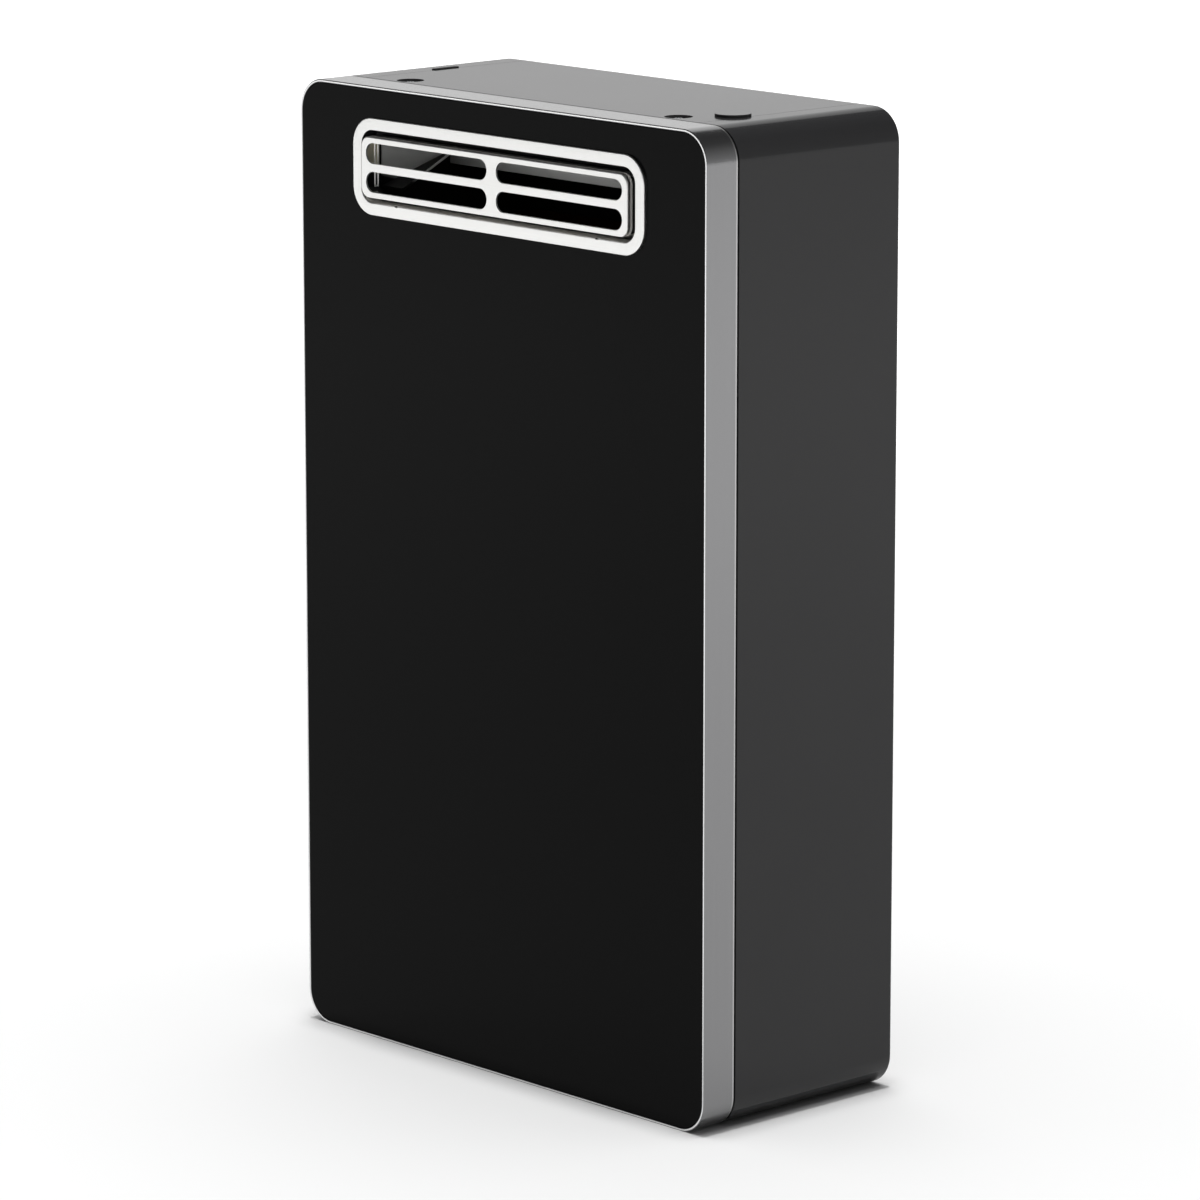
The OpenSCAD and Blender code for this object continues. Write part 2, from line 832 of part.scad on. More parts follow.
module flue_box() {
  color("#2b2c2d") difference() {
    translate([-flue_w / 2, flue_front, flue_low])
      cube([flue_w, core_back - flue_front, flue_top - flue_low]);
    translate([-flue_w / 2 + flue_t, flue_front + flue_t, flue_low + flue_t])
      cube([flue_w - 2 * flue_t, core_back - flue_front - 2 * flue_t, flue_top - flue_low - 2 * flue_t]);
    translate([-core_w / 2 + flue_t, core_front + flue_t, flue_low - flue_t])
      cube([core_w - 2 * flue_t, core_d - 2 * flue_t, 3 * flue_t]);
    upright(flue_front - flue_t, 3 * flue_t) outlet_outline(0);
  }
}

// Hood under the flue's roof: each cheek rises toward the back and turns in to a tapered, hemmed flange
module flue_deflector() {
  front = flue_front + 2 * flue_t;
  back = rim_y + deflector_back;
  low = outlet_z - cheek_low;
  high = flue_top - flue_t;
  rise = cheek_low + cheek_high;
  slope = atan2(rise, back - front);
  flange_l = (back - front) / cos(slope) - flue_t;
  taper = atan2(cheek_flange_w - cheek_flange_end, flange_l);
  out_w = deflector_w + 2 * flue_t;
  color("#8d8e90") {
    translate([-out_w / 2, back, outlet_z - deflector_low])
      cube([out_w, flue_t, high - outlet_z + deflector_low]);
    translate([-deflector_w / 2, front, high - flue_t]) cube([deflector_w, back - front, flue_t]);
    for (side = [0, 1]) mirror([side, 0, 0]) translate([-deflector_w / 2, 0, 0]) {
      translate([-flue_t, 0, 0]) rotate([90, 0, 90]) linear_extrude(flue_t)
        polygon([[front, low], [back, low + rise], [back, high], [front, high]]);
      translate([0, front, low]) rotate([slope, 0, 0]) {
        linear_extrude(flue_t)
          polygon([[0, 0], [cheek_flange_w, 0], [cheek_flange_end, flange_l], [0, flange_l]]);
        translate([cheek_flange_w, 0, flue_t / 2]) rotate([-90, 0, taper])
          cylinder(r = hem_r, h = (flange_l - hem_r) / cos(taper));
      }
    }
  }
}

module flue_gasket() {
  seal_w = 6;
  color("#d8d4c8") upright(tray_back, flue_front - tray_back) difference() {
    outlet_outline(cut_gap + seal_w);
    outlet_outline(cut_gap);
  }
}

// Heat exchanger

// Four upright walls on the core's plan
module core_walls(z, h) {
  translate([-core_w / 2, core_front, z]) difference() {
    cube([core_w, core_d, h]);
    translate([flue_t, flue_t, -1]) cube([core_w - 2 * flue_t, core_d - 2 * flue_t, h + 2]);
  }
}

module tube_passes(r, l) {
  for (i = [0 : tube_n - 1])
    translate([-l / 2, tube_y(i), tube_z]) rotate([0, 90, 0]) cylinder(r = r, h = l);
}

module exchanger_shell() {
  color("#b87348") difference() {
    core_walls(exchanger_z, exchanger_h);
    tube_passes(tube_r + seat_fit, core_w + 2);
  }
}

module exchanger_fins() {
  depth = core_d - 2 * flue_t - 2 * sheet_fit;
  color("#c07a4c") for (i = [0 : fin_n - 1])
    translate([(i - (fin_n - 1) / 2) * fin_pitch - fin_t / 2, core_y, tube_z])
      rotate([90, 0, 90]) linear_extrude(fin_t) difference() {
        round_rect(depth, fin_h, 3);
        for (k = [0 : tube_n - 1]) translate([tube_y(k) - core_y, 0]) circle(tube_r + seat_fit);
      }
}

// One serpentine: straight passes, return bends and two ends on the right
module serpentine(r, extra) {
  tube_passes(r, 2 * tube_end);
  for (i = [0 : tube_n - 2]) {
    side = i % 2 == 0 ? -1 : 1;
    translate([side * tube_end, (tube_y(i) + tube_y(i + 1)) / 2, tube_z]) rotate(-90 * side)
      rotate_extrude(angle = 180) translate([tube_pitch / 2, 0]) circle(r);
  }
  for (i = [0, tube_n - 1])
    translate([tube_end, tube_y(i), tube_z]) rotate([0, 90, 0]) cylinder(r = r, h = stub_l + extra);
}

module exchanger_tubes() {
  color("#c98755") difference() {
    serpentine(tube_r, 0);
    serpentine(tube_r - tube_wall, 1);
  }
}

// Combustion chamber and burner

electrode_r = 4;
electrode_z = chamber_z + 16;
spark_x = [-24, 4];
flame_x = 44;
window_r = 9;
window_z = (chamber_z + exchanger_z) / 2;

module combustion_chamber() {
  rim = 6;
  color("#8f8a84") difference() {
    union() {
      core_walls(chamber_z, chamber_h);
      for (z = [chamber_z, exchanger_z - flue_t]) translate([-core_w / 2, core_front - rim, z])
        cube([core_w, rim, flue_t]);
    }
    for (x = concat(spark_x, [flame_x]))
      along_y(x, core_front - 1, electrode_z, 3) circle(electrode_r + seat_fit);
    along_y(0, core_front - 1, window_z, 3) circle(window_r);
  }
}

// Flat sight glass on the chamber's front, with a step in the hole
module sight_window() {
  color("#a9b4b6") {
    along_y(0, core_front - 3, window_z, 3) circle(window_r + 4);
    along_y(0, core_front, window_z, flue_t) circle(window_r - seat_fit);
  }
}

module burner_tray() {
  ledge = 6;
  color("#7f8183") difference() {
    union() {
      core_walls(burner_z, burner_h);
      translate([-core_w / 2, core_front, burner_z]) cube([core_w, core_d, flue_t]);
      for (y = [core_front, core_back - ledge])
        translate([-core_w / 2, y, bar_z - flue_t]) cube([core_w, ledge, flue_t]);
    }
    translate([scroll_r0 * cos(tongue), fan_y0 + fan_t, burner_z - 1])
      cube([scroll_r1 - fan_t - scroll_r0 * cos(tongue), fan_d - 2 * fan_t, 3]);
    for (i = [0 : bar_n - 1])
      along_y(bar_x(i), core_front - 1, nozzle_z, 3) circle(venturi_r);
  }
}

// Section of a burner bar: mixing tube, neck and slotted head
module bar_section() {
  neck_w = 5;
  head_h = 14;
  translate([0, venturi_r]) circle(venturi_r + 1);
  translate([-venturi_r, 0]) square([2 * venturi_r, venturi_r]);
  translate([-neck_w / 2, venturi_r]) square([neck_w, bar_h - venturi_r]);
  translate([-bar_w / 2, bar_h - head_h]) square([bar_w, head_h]);
}

module burner_bars() {
  port_n = 10;
  port_w = 2;
  front = core_front + flue_t + sheet_fit;
  l = core_d - 2 * flue_t - 2 * sheet_fit;
  color("#a5a6a8") for (i = [0 : bar_n - 1]) translate([bar_x(i), 0, bar_z]) difference() {
    intersection() {
      upright(front, l) bar_section();
      translate([-core_w, front, 0]) cube([2 * core_w, l, bar_h]);
    }
    along_y(0, front - 1, venturi_r, l - 10) circle(venturi_r - 1);
    for (k = [0 : port_n - 1])
      translate([1 - bar_w / 2, front + (k + 0.5) * l / port_n - port_w / 2, bar_h - 9])
        cube([bar_w - 2, port_w, 10]);
  }
}

// Cast rail with an ear at each end, a gas inlet under its left end and a nozzle seat for each bar
module gas_manifold() {
  ear_w = 8;
  boss_r = pipe_r + 4;
  low = nozzle_z - manifold_s / 2;
  color("#a9abad") difference() {
    union() {
      translate([-manifold_l / 2, manifold_y, nozzle_z]) rotate([90, 0, 90]) linear_extrude(manifold_l)
        round_rect(manifold_s, manifold_s, 5);
      for (side = [-1, 1])
        translate([side * (manifold_l - ear_w) / 2 - ear_w / 2, manifold_y, nozzle_z + manifold_s / 2 - 4])
          cube([ear_w, core_front - manifold_y, 12]);
      translate([gas_x, manifold_y, low - socket_h]) cylinder(r = boss_r, h = socket_h + 2);
    }
    translate([-manifold_l / 2 + 4, manifold_y, nozzle_z]) rotate([0, 90, 0])
      cylinder(r = manifold_s / 2 - 4, h = manifold_l - 8);
    translate([gas_x, manifold_y, low - socket_h - 1]) cylinder(r = pipe_r + seat_fit, h = socket_h + 1);
    translate([gas_x, manifold_y, low - 1]) cylinder(r = bore_r, h = 6);
    for (i = [0 : bar_n - 1])
      along_y(bar_x(i), manifold_y, nozzle_z, manifold_s) circle(nozzle_r + seat_fit);
  }
}

nozzle_r = 3;

module gas_nozzles() {
  face = manifold_y + manifold_s / 2;
  shank_l = 4;
  hex_l = 3;
  hex_r = 4.5;
  tip_l = 4;
  tip_r = 1.5;
  jet_r = 0.6;
  color("#c9a34a") for (i = [0 : bar_n - 1]) difference() {
    union() {
      along_y(bar_x(i), face - shank_l, nozzle_z, shank_l) circle(nozzle_r);
      along_y(bar_x(i), face, nozzle_z, hex_l) circle(hex_r, $fn = 6);
      translate([bar_x(i), face + hex_l, nozzle_z]) rotate([-90, 0, 0])
        cylinder(r1 = nozzle_r, r2 = tip_r, h = tip_l);
    }
    along_y(bar_x(i), face - shank_l - 1, nozzle_z, shank_l + hex_l + tip_l + 3) circle(jet_r);
  }
}

// Ceramic rod with a collar outside the chamber wall and a wire inside
module electrode(x, reach, drop) {
  rod_out = 16;
  rod_in = 14;
  collar_l = 6;
  pin_l = 9;
  pin_out = 24;
  pin_r = 1.5;
  wire_r = 1;
  wire_bend = 2;
  color("#e9e4d8") {
    along_y(x, core_front - rod_out, electrode_z, rod_out) circle(electrode_r - 1);
    along_y(x, core_front - collar_l, electrode_z, collar_l) circle(electrode_r + 2);
    along_y(x, core_front, electrode_z, rod_in) circle(electrode_r);
    bent_bar([[x, core_front + rod_in - 1, electrode_z], [x, core_front + reach, electrode_z],
      [x, core_front + reach, electrode_z - drop]], wire_r, wire_bend);
    along_y(x, core_front - pin_out, electrode_z, pin_l) circle(pin_r);
  }
}

module spark_electrodes() {
  reach = 32;
  drop = 6;
  for (x = spark_x) electrode(x, reach, drop);
}

module flame_rod() {
  reach = 44;
  drop = 4;
  electrode(flame_x, reach, drop);
}

// Channels between the chamber and the rear panel
module core_brackets() {
  w = 26;
  h = 60;
  t = 1.5;
  color("#8a8c8e") for (side = [-1, 1]) translate([side * core_w / 3 - w / 2, core_back, chamber_z + 30])
    linear_extrude(h) difference() {
      square([w, core_gap]);
      translate([t, t]) square([w, core_gap - 2 * t]);
    }
}

// Fan

module scroll(wall) {
  step = 5;
  r0 = scroll_r0 - wall;
  r1 = scroll_r1 - wall;
  top = fan_up + wall;
  curve = [for (a = [tongue : step : 360])
    let (r = r0 + (r1 - r0) * (a - tongue) / (360 - tongue)) [r * cos(a), r * sin(a)]];
  translate([0, fan_z]) polygon(concat(curve, [[r1, top], [scroll_r0 * cos(tongue) + wall, top]]));
}

module fan_housing() {
  lip = 5;
  left = scroll_r0 * cos(tongue) - lip;
  color("#b4b6b8") difference() {
    union() {
      upright(fan_y0, fan_d) scroll(0);
      translate([left, fan_y0 - lip, burner_z - fan_t])
        cube([scroll_r1 + lip - left, fan_d + lip, fan_t]);
    }
    upright(fan_y0 + fan_t, fan_d - 2 * fan_t) scroll(fan_t);
    along_y(0, fan_y0 + fan_d - 2 * fan_t, fan_z, 4 * fan_t) circle(inlet_r);
    along_y(0, fan_y0 - fan_t, fan_z, 4 * fan_t) circle(hub_r + 1);
  }
}

// Forward-curved blade between the back disc and the front ring
module blade() {
  reach = 12;
  curve_r = 11;
  translate([wheel_r - reach / 2 - 1, 0]) intersection() {
    translate([0, -curve_r + 2]) difference() {
      circle(curve_r);
      circle(curve_r - 0.8);
    }
    translate([-reach / 2, -reach / 2]) square([reach, reach]);
  }
}

module fan_wheel() {
  plate = 1.2;
  color("#c3c5c7") difference() {
    union() {
      along_y(0, wheel_y0, fan_z, plate) circle(wheel_r);
      along_y(0, wheel_y0, fan_z, 14) circle(hub_r);
      along_y(0, wheel_y0 + wheel_w - plate, fan_z, plate) difference() {
        circle(wheel_r);
        circle(wheel_r - 6);
      }
      along_y(0, wheel_y0, fan_z, wheel_w)
        for (k = [0 : blade_n - 1]) rotate(k * 360 / blade_n) blade();
    }
    along_y(0, wheel_y0 - 1, fan_z, 16) circle(shaft_r + seat_fit / 2);
  }
}

module fan_shaft() {
  color("#d0d2d4") along_y(0, fan_y0 - shaft_in, fan_z, wheel_y0 + 14 - fan_y0 + shaft_in) circle(shaft_r);
}

// Closed can with a mounting flange, cooling slots and a bearing boss through the housing
module fan_motor() {
  slot_n = 8;
  ear_r = 4.5;
  color("#3f4143") difference() {
    union() {
      along_y(0, fan_y0 - motor_l, fan_z, motor_l) circle(motor_r);
      for (a = [45 : 90 : 315])
        along_y((motor_r + 2) * cos(a), fan_y0 - 3, fan_z + (motor_r + 2) * sin(a), 3) circle(ear_r);
      along_y(0, fan_y0 - motor_l - 3, fan_z, 4) circle(hub_r);
    }
    along_y(0, fan_y0 - shaft_in - 1, fan_z, shaft_in + 2) circle(shaft_r + run_fit);
    for (k = [0 : slot_n - 1])
      translate([0, fan_y0 - motor_l / 2, fan_z]) rotate([0, k * 360 / slot_n, 0])
        translate([motor_r - 2, -7, -2]) cube([4, 14, 4]);
  }
}

// Connections and gas side

// Threaded stub, hexagon, seat under the tray and shank up through it
module pipe_stub() {
  translate([0, 0, fit_low]) cylinder(r = thread_r, h = thread_l);
  translate([0, 0, fit_low + thread_l]) cylinder(r = hex_r, h = hex_h, $fn = 6);
  translate([0, 0, fit_low + thread_l])
    cylinder(r = thread_r + 1, h = recess_h - sheet_t - fit_low - thread_l);
  translate([0, 0, recess_h - sheet_t - seat_h]) cylinder(r = seat_r, h = seat_h);
  translate([0, 0, recess_h - sheet_t]) cylinder(r = shank_r, h = shank_up + sheet_t);
}

module gas_inlet() {
  color("#c9a34a") translate([gas_x, fit_y, 0]) difference() {
    pipe_stub();
    cylinder(r = bore_r, h = 2 * fit_top);
  }
}

module gas_valve_body() {
  chamfer = 5;
  w = valve_w / 2;
  d = valve_d / 2;
  plan = [[-w + chamfer, -d], [w - chamfer, -d], [w, -d + chamfer], [w, d - chamfer], [w - chamfer, d],
    [-w + chamfer, d], [-w, d - chamfer], [-w, -d + chamfer]];
  color("#b2b4b6") difference() {
    union() {
      translate([gas_x, fit_y, fit_top]) linear_extrude(valve_h) polygon(plan);
      translate([gas_x, fit_y, fit_top + valve_h]) cylinder(r = pipe_r + 5, h = socket_h);
    }
    for (z = [shutoff_z, modulating_z]) {
      along_y(gas_x, valve_front - 1, z, cavity_l + 1) circle(cavity_r);
      along_y(gas_x, valve_front, z, valve_d - 8) circle(seat_hole_r);
    }
    translate([gas_x, fit_y, fit_top - 1]) cylinder(r = bore_r, h = modulating_z - fit_top);
    translate([gas_x, fit_y + 8, modulating_z]) cylinder(r = 4, h = shutoff_z - modulating_z);
    translate([gas_x, fit_y, shutoff_z]) cylinder(r = bore_r, h = valve_h);
    translate([gas_x, fit_y, fit_top + valve_h]) cylinder(r = pipe_r + seat_fit, h = socket_h + 1);
  }
}

// Solenoid coil in a square yoke, with a blind bore for its plunger
module coil(z) {
  yoke = 2;
  s = 2 * coil_r;
  difference() {
    union() {
      along_y(gas_x, valve_front - coil_l, z, coil_l) circle(coil_r);
      for (y = [valve_front - yoke, valve_front - coil_l])
        translate([gas_x - s / 2, y, z - s / 2]) cube([s, yoke, s]);
      translate([gas_x + coil_r - yoke, valve_front - coil_l, z - s / 2]) cube([yoke, coil_l, s]);
      translate([gas_x - 8, valve_front - coil_l + 8, z + coil_r - 2]) cube([16, 12, 6]);
    }
    along_y(gas_x, valve_front - coil_bore_l, z, coil_bore_l + 1) circle(plunger_r + run_fit);
  }
}

// Iron core with a valve disc at its inner end
module plunger(z) {
  seat = valve_front + cavity_l - disc_gap;
  along_y(gas_x, valve_front - plunger_tail, z, seat - valve_front + plunger_tail) circle(plunger_r);
  along_y(gas_x, seat - disc_t, z, disc_t) circle(disc_r);
}

module shutoff_coil() {
  color("#2f3133") coil(shutoff_z);
}

module shutoff_plunger() {
  color("#b8babc") plunger(shutoff_z);
}

module modulating_coil() {
  color("#2f3133") coil(modulating_z);
}

module modulating_plunger() {
  color("#b8babc") plunger(modulating_z);
}

// Coil spring between the coil's face and the valve disc, swept along a helix
spring_steps = spring_turns * spring_rings;
function spring_at(k) = let (a = 360 * k / spring_rings)
  [spring_r * cos(a), spring_l * k / spring_steps, spring_r * sin(a)];
function spring_out(k) = let (a = 360 * k / spring_rings) [cos(a), 0, sin(a)];
function spring_ring(k) = [for (s = [0 : spring_sides - 1]) let (b = 360 * s / spring_sides)
  spring_at(k) + wire_r * (cos(b) * spring_out(k) + sin(b) * [0, 1, 0])];
spring_gap = min([for (k = [0 : spring_steps - spring_rings])
  norm(spring_at(k + spring_rings) - spring_at(k))]) - 2 * wire_r;
echo(spring_gap = spring_gap);

module spring(z) {
  n = spring_sides;
  points = [for (k = [0 : spring_steps]) each spring_ring(k)];
  walls = [for (k = [0 : spring_steps - 1], s = [0 : n - 1])
    let (a = k * n + s, b = k * n + (s + 1) % n) each [[a, b, a + n], [b, b + n, a + n]]];
  caps = [for (s = [1 : n - 2]) each [[0, s + 1, s],
    [spring_steps * n, spring_steps * n + s, spring_steps * n + s + 1]]];
  translate([gas_x, valve_front + wire_r + disc_gap, z])
    polyhedron(points, concat(walls, caps));
}

module shutoff_spring() {
  color("#d5d7d9") spring(shutoff_z);
}

module modulating_spring() {
  color("#d5d7d9") spring(modulating_z);
}

module gas_feed_pipe() {
  start = fit_top + valve_h + 1;
  stop = nozzle_z - manifold_s / 2 - 1;
  color("#c9a34a") pipe([[gas_x, fit_y, start], [gas_x, fit_y, feed_z],
    [gas_x, manifold_y, feed_z], [gas_x, manifold_y, stop]]);
}

// Water side

drain_r = 7;
drain_bore = 4;
drain_z = fit_low + thread_l + drain_r + 2;
drain_l = 22;
filter_top = fit_low + thread_l + 6;

module cold_inlet() {
  color("#c9a34a") translate([cold_x, fit_y, 0]) difference() {
    union() {
      pipe_stub();
      translate([-drain_l, 0, drain_z]) rotate([0, 90, 0]) cylinder(r = drain_r, h = drain_l);
    }
    cylinder(r = bore_r, h = 2 * fit_top);
    cylinder(r = bore_r + 1.5, h = filter_top);
    translate([-drain_l - 1, 0, drain_z]) rotate([0, 90, 0])
      cylinder(r = drain_bore + seat_fit, h = drain_l - bore_r - 1);
    translate([-bore_r - 3, 0, drain_z]) rotate([0, 90, 0]) cylinder(r = 2, h = bore_r);
  }
}

// Slotted strainer cup that hangs from the step in the inlet's bore
module inlet_filter() {
  r = bore_r + 0.8;
  color("#e6e4dc") translate([cold_x, fit_y, 0]) difference() {
    union() {
      translate([0, 0, fit_low + 3]) cylinder(r = r, h = filter_top - fit_low - 3);
      translate([0, 0, filter_top - 1]) cylinder(r = bore_r + 1.5 - seat_fit, h = 1);
    }
    translate([0, 0, fit_low + 4]) cylinder(r = r - 0.8, h = filter_top);
    for (k = [0 : 3]) translate([0, 0, fit_low + 6]) rotate(45 * k)
      translate([-2 * r, -0.7, 0]) cube([4 * r, 1.4, filter_top - fit_low - 10]);
  }
}

module drain_plug() {
  head_h = 7;
  color("#2a2b2c") translate([cold_x - drain_l, fit_y, drain_z]) rotate([0, 90, 0]) {
    cylinder(r = drain_bore, h = drain_l - bore_r - 4);
    translate([0, 0, -head_h]) difference() {
      cylinder(r = drain_r + 1, h = head_h);
      for (k = [0 : 7]) rotate(45 * k) translate([drain_r + 1.6, 0, -1]) cylinder(r = 1.5, h = head_h + 2);
    }
  }
}

// Three bars and a hub with a pivot hole across the sensor's chamber
module spider(z) {
  translate([0, 0, z]) difference() {
    union() {
      cylinder(r = 3, h = spider_h);
      for (k = [0 : 2]) rotate(120 * k) translate([0, -0.8, 0]) cube([chamber_r + 1, 1.6, spider_h]);
    }
    translate([0, 0, -1]) cylinder(r = pivot_r + run_fit, h = spider_h + 2);
  }
}

module flow_sensor() {
  play = 0.3;
  color("#55585b") translate([cold_x, fit_y, 0]) {
    difference() {
      union() {
        translate([0, 0, sensor_z]) cylinder(r = sensor_r, h = sensor_h);
        translate([0, -sensor_r - 4, turbine_z]) translate([-7, 0, 0]) cube([14, 14, turbine_h]);
      }
      translate([0, 0, sensor_z - 1]) cylinder(r = bore_r, h = sensor_h);
      translate([0, 0, turbine_z - 6]) cylinder(r = chamber_r, h = turbine_h + 12);
      translate([0, 0, sensor_z + sensor_h - socket_h]) cylinder(r = pipe_r + seat_fit, h = socket_h + 1);
    }
    spider(turbine_z - play - spider_h);
    spider(turbine_z + turbine_h + play);
  }
}

module flow_turbine() {
  blades = 6;
  blade_t = 1;
  sweep = 2.4;
  hub = 3;
  root = 2;
  end = 0.6;
  tip = sqrt(turbine_r * turbine_r - (sweep + blade_t) * (sweep + blade_t));
  top = turbine_h - end;
  section = [[-sweep, end], [blade_t - sweep, end], [sweep, top], [sweep - blade_t, top]];
  color("#e8e8e4") translate([cold_x, fit_y, turbine_z]) {
    rotate(30) cylinder(r = hub, h = turbine_h);
    translate([0, 0, -pivot_l]) cylinder(r = pivot_r, h = turbine_h + 2 * pivot_l);
    for (k = [0 : blades - 1]) rotate(k * 360 / blades)
      translate([root, 0, 0]) rotate([90, 0, 90]) linear_extrude(tip - root) polygon(section);
  }
}

cold_turn = fit_top + sensor_h + 28;
hot_turn = cold_turn + 28;

module cold_pipe() {
  y = tube_y(0);
  color("#c98755") pipe([[tube_end + 1, y, tube_z], [riser_x, y, tube_z], [riser_x, y, cold_turn],
    [riser_x, fit_y, cold_turn], [cold_x, fit_y, cold_turn],
    [cold_x, fit_y, sensor_z + sensor_h - socket_h + 1]]);
}

module hot_pipe() {
  y = tube_y(tube_n - 1);
  color("#c98755") pipe([[tube_end + 1, y, tube_z], [riser_x, y, tube_z], [riser_x, y, hot_turn],
    [riser_x, fit_y, hot_turn], [hot_x, fit_y, hot_turn], [hot_x, fit_y, fit_top - socket_h + 1]]);
}

module hot_outlet() {
  color("#c9a34a") translate([hot_x, fit_y, 0]) difference() {
    pipe_stub();
    cylinder(r = bore_r, h = 2 * fit_top);
    translate([0, 0, fit_top - socket_h]) cylinder(r = pipe_r + seat_fit, h = socket_h + 1);
  }
}

// Spring clip round the hot pipe with the sensor bead on its side
module outlet_thermistor() {
  h = 12;
  color("#8f2f2a") translate([hot_x, fit_y, fit_top + 14]) difference() {
    union() {
      cylinder(r = pipe_r + 2, h = h);
      translate([-5, -pipe_r - 7, 0]) cube([10, 9, h]);
    }
    translate([0, 0, -1]) cylinder(r = pipe_r + seat_fit, h = h + 2);
    translate([-3, 0, -1]) cube([6, 2 * pipe_r, h + 2]);
  }
}

module overheat_thermostat() {
  r = 8;
  color("#3a3c3e") {
    along_y(-core_w / 4, core_front - 6, tube_z, 6) circle(r);
    along_y(-core_w / 4, core_front - 1.5, tube_z, 1.5) round_slot(30, 9);
    for (side = [-1, 1])
      translate([-core_w / 4 + side * 3 - 1.5, core_front - 14, tube_z - 3]) cube([3, 9, 1]);
  }
}

// Electrics

// Open-fronted tray on the front wall of the connection recess
module control_box() {
  post_r = 3;
  color("#d9d9d5") translate([-box_w / 2, box_back - box_d, box_z]) {
    difference() {
      cube([box_w, box_d, box_h]);
      translate([box_t, -1, box_t]) cube([box_w - 2 * box_t, box_d + 1 - box_t, box_h - 2 * box_t]);
      for (k = [0 : 4]) translate([20 + k * 20, box_d / 2, -1]) cylinder(r = 3.5, h = 2 * box_t);
    }
    for (x = [10, box_w - 10], z = [10, box_h - 10])
      along_y(x, box_d - box_t - 6, z, 7) circle(post_r);
  }
}

module control_board() {
  t = 1.6;
  edge = 3;
  stand_off = 6;
  sink = 1;
  relay = [18, 10, 14];
  relay_at = [-46, 70];
  relay_pitch = 24;
  plug = [16, 7, 8];
  plug_at = [-48, 10];
  plug_pitch = 22;
  chip = [22, 4, 22];
  chip_at = [-44, 38];
  big_can = [38, 44];
  big_can_r = 8;
  big_can_h = 11;
  small_can = [18, 40];
  small_can_r = 5;
  small_can_h = 10;
  y = box_back - box_t - stand_off - t;
  color("#1f6b3a") {
    translate([-box_w / 2 + box_t + edge, y, box_z + box_t + edge])
      cube([box_w - 2 * box_t - 2 * edge, t, box_h - 2 * box_t - 2 * edge]);
    for (k = [0 : 2])
      translate([relay_at.x + k * relay_pitch, y + sink - relay.y, box_z + relay_at.y]) cube(relay);
    for (k = [0 : 3])
      translate([plug_at.x + k * plug_pitch, y + sink - plug.y, box_z + plug_at.y]) cube(plug);
    translate([chip_at.x, y + sink - chip.y, box_z + chip_at.y]) cube(chip);
    along_y(big_can.x, y - big_can_h, box_z + big_can.y, big_can_h + sink) circle(big_can_r);
    along_y(small_can.x, y - small_can_h, box_z + small_can.y, small_can_h + sink) circle(small_can_r);
  }
}

module ignition_transformer() {
  w = 36;
  d = 18;
  h = 30;
  color("#24262a") translate([gas_x - w / 2, fit_y + valve_d / 2 + 1, recess_h]) {
    cube([w, d - 4, h]);
    for (x = [10, w - 10]) translate([x, d / 2 - 2, h]) cylinder(r = 4, h = 8);
    translate([-5, 0, 0]) cube([w + 10, d - 4, 2]);
  }
}

// Gland for the supply cord: seat under the tray, shank through it, lock nut above
module cable_gland() {
  nut_h = 5;
  color("#202122") translate([gland_x, fit_y, 0]) difference() {
    union() {
      translate([0, 0, recess_h - sheet_t - 8]) cylinder(r = gland_r + 3, h = 8, $fn = 6);
      translate([0, 0, recess_h - sheet_t - 20]) cylinder(r1 = gland_r - 2, r2 = gland_r + 1, h = 12.5);
      translate([0, 0, recess_h - sheet_t - 1]) cylinder(r = gland_r, h = sheet_t + nut_h + 3);
      translate([0, 0, recess_h]) cylinder(r = gland_r + 3.5, h = nut_h, $fn = 6);
    }
    cylinder(r = 3.5, h = 2 * recess_h);
  }
}

front_frame();
glass_panel();
cover_tray();
cover_gasket();
cover_lugs();
cover_screws();
exhaust_bezel();
exhaust_grille();
left_side_panel();
right_side_panel();
top_panel();
bottom_panel();
rear_panel();
connection_tray();
intake_grille();
top_plug();
top_grommet();
flue_box();
flue_deflector();
flue_gasket();
exchanger_shell();
exchanger_fins();
exchanger_tubes();
combustion_chamber();
sight_window();
burner_tray();
burner_bars();
gas_manifold();
gas_nozzles();
spark_electrodes();
flame_rod();
core_brackets();
fan_housing();
fan_wheel();
fan_shaft();
fan_motor();
gas_inlet();
gas_valve_body();
shutoff_coil();
shutoff_plunger();
shutoff_spring();
modulating_coil();
modulating_plunger();
modulating_spring();
gas_feed_pipe();
cold_inlet();
inlet_filter();
drain_plug();
flow_sensor();
flow_turbine();
cold_pipe();
hot_pipe();
hot_outlet();
outlet_thermistor();
overheat_thermostat();
control_box();
control_board();
ignition_transformer();
cable_gland();
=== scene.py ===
from math import radians

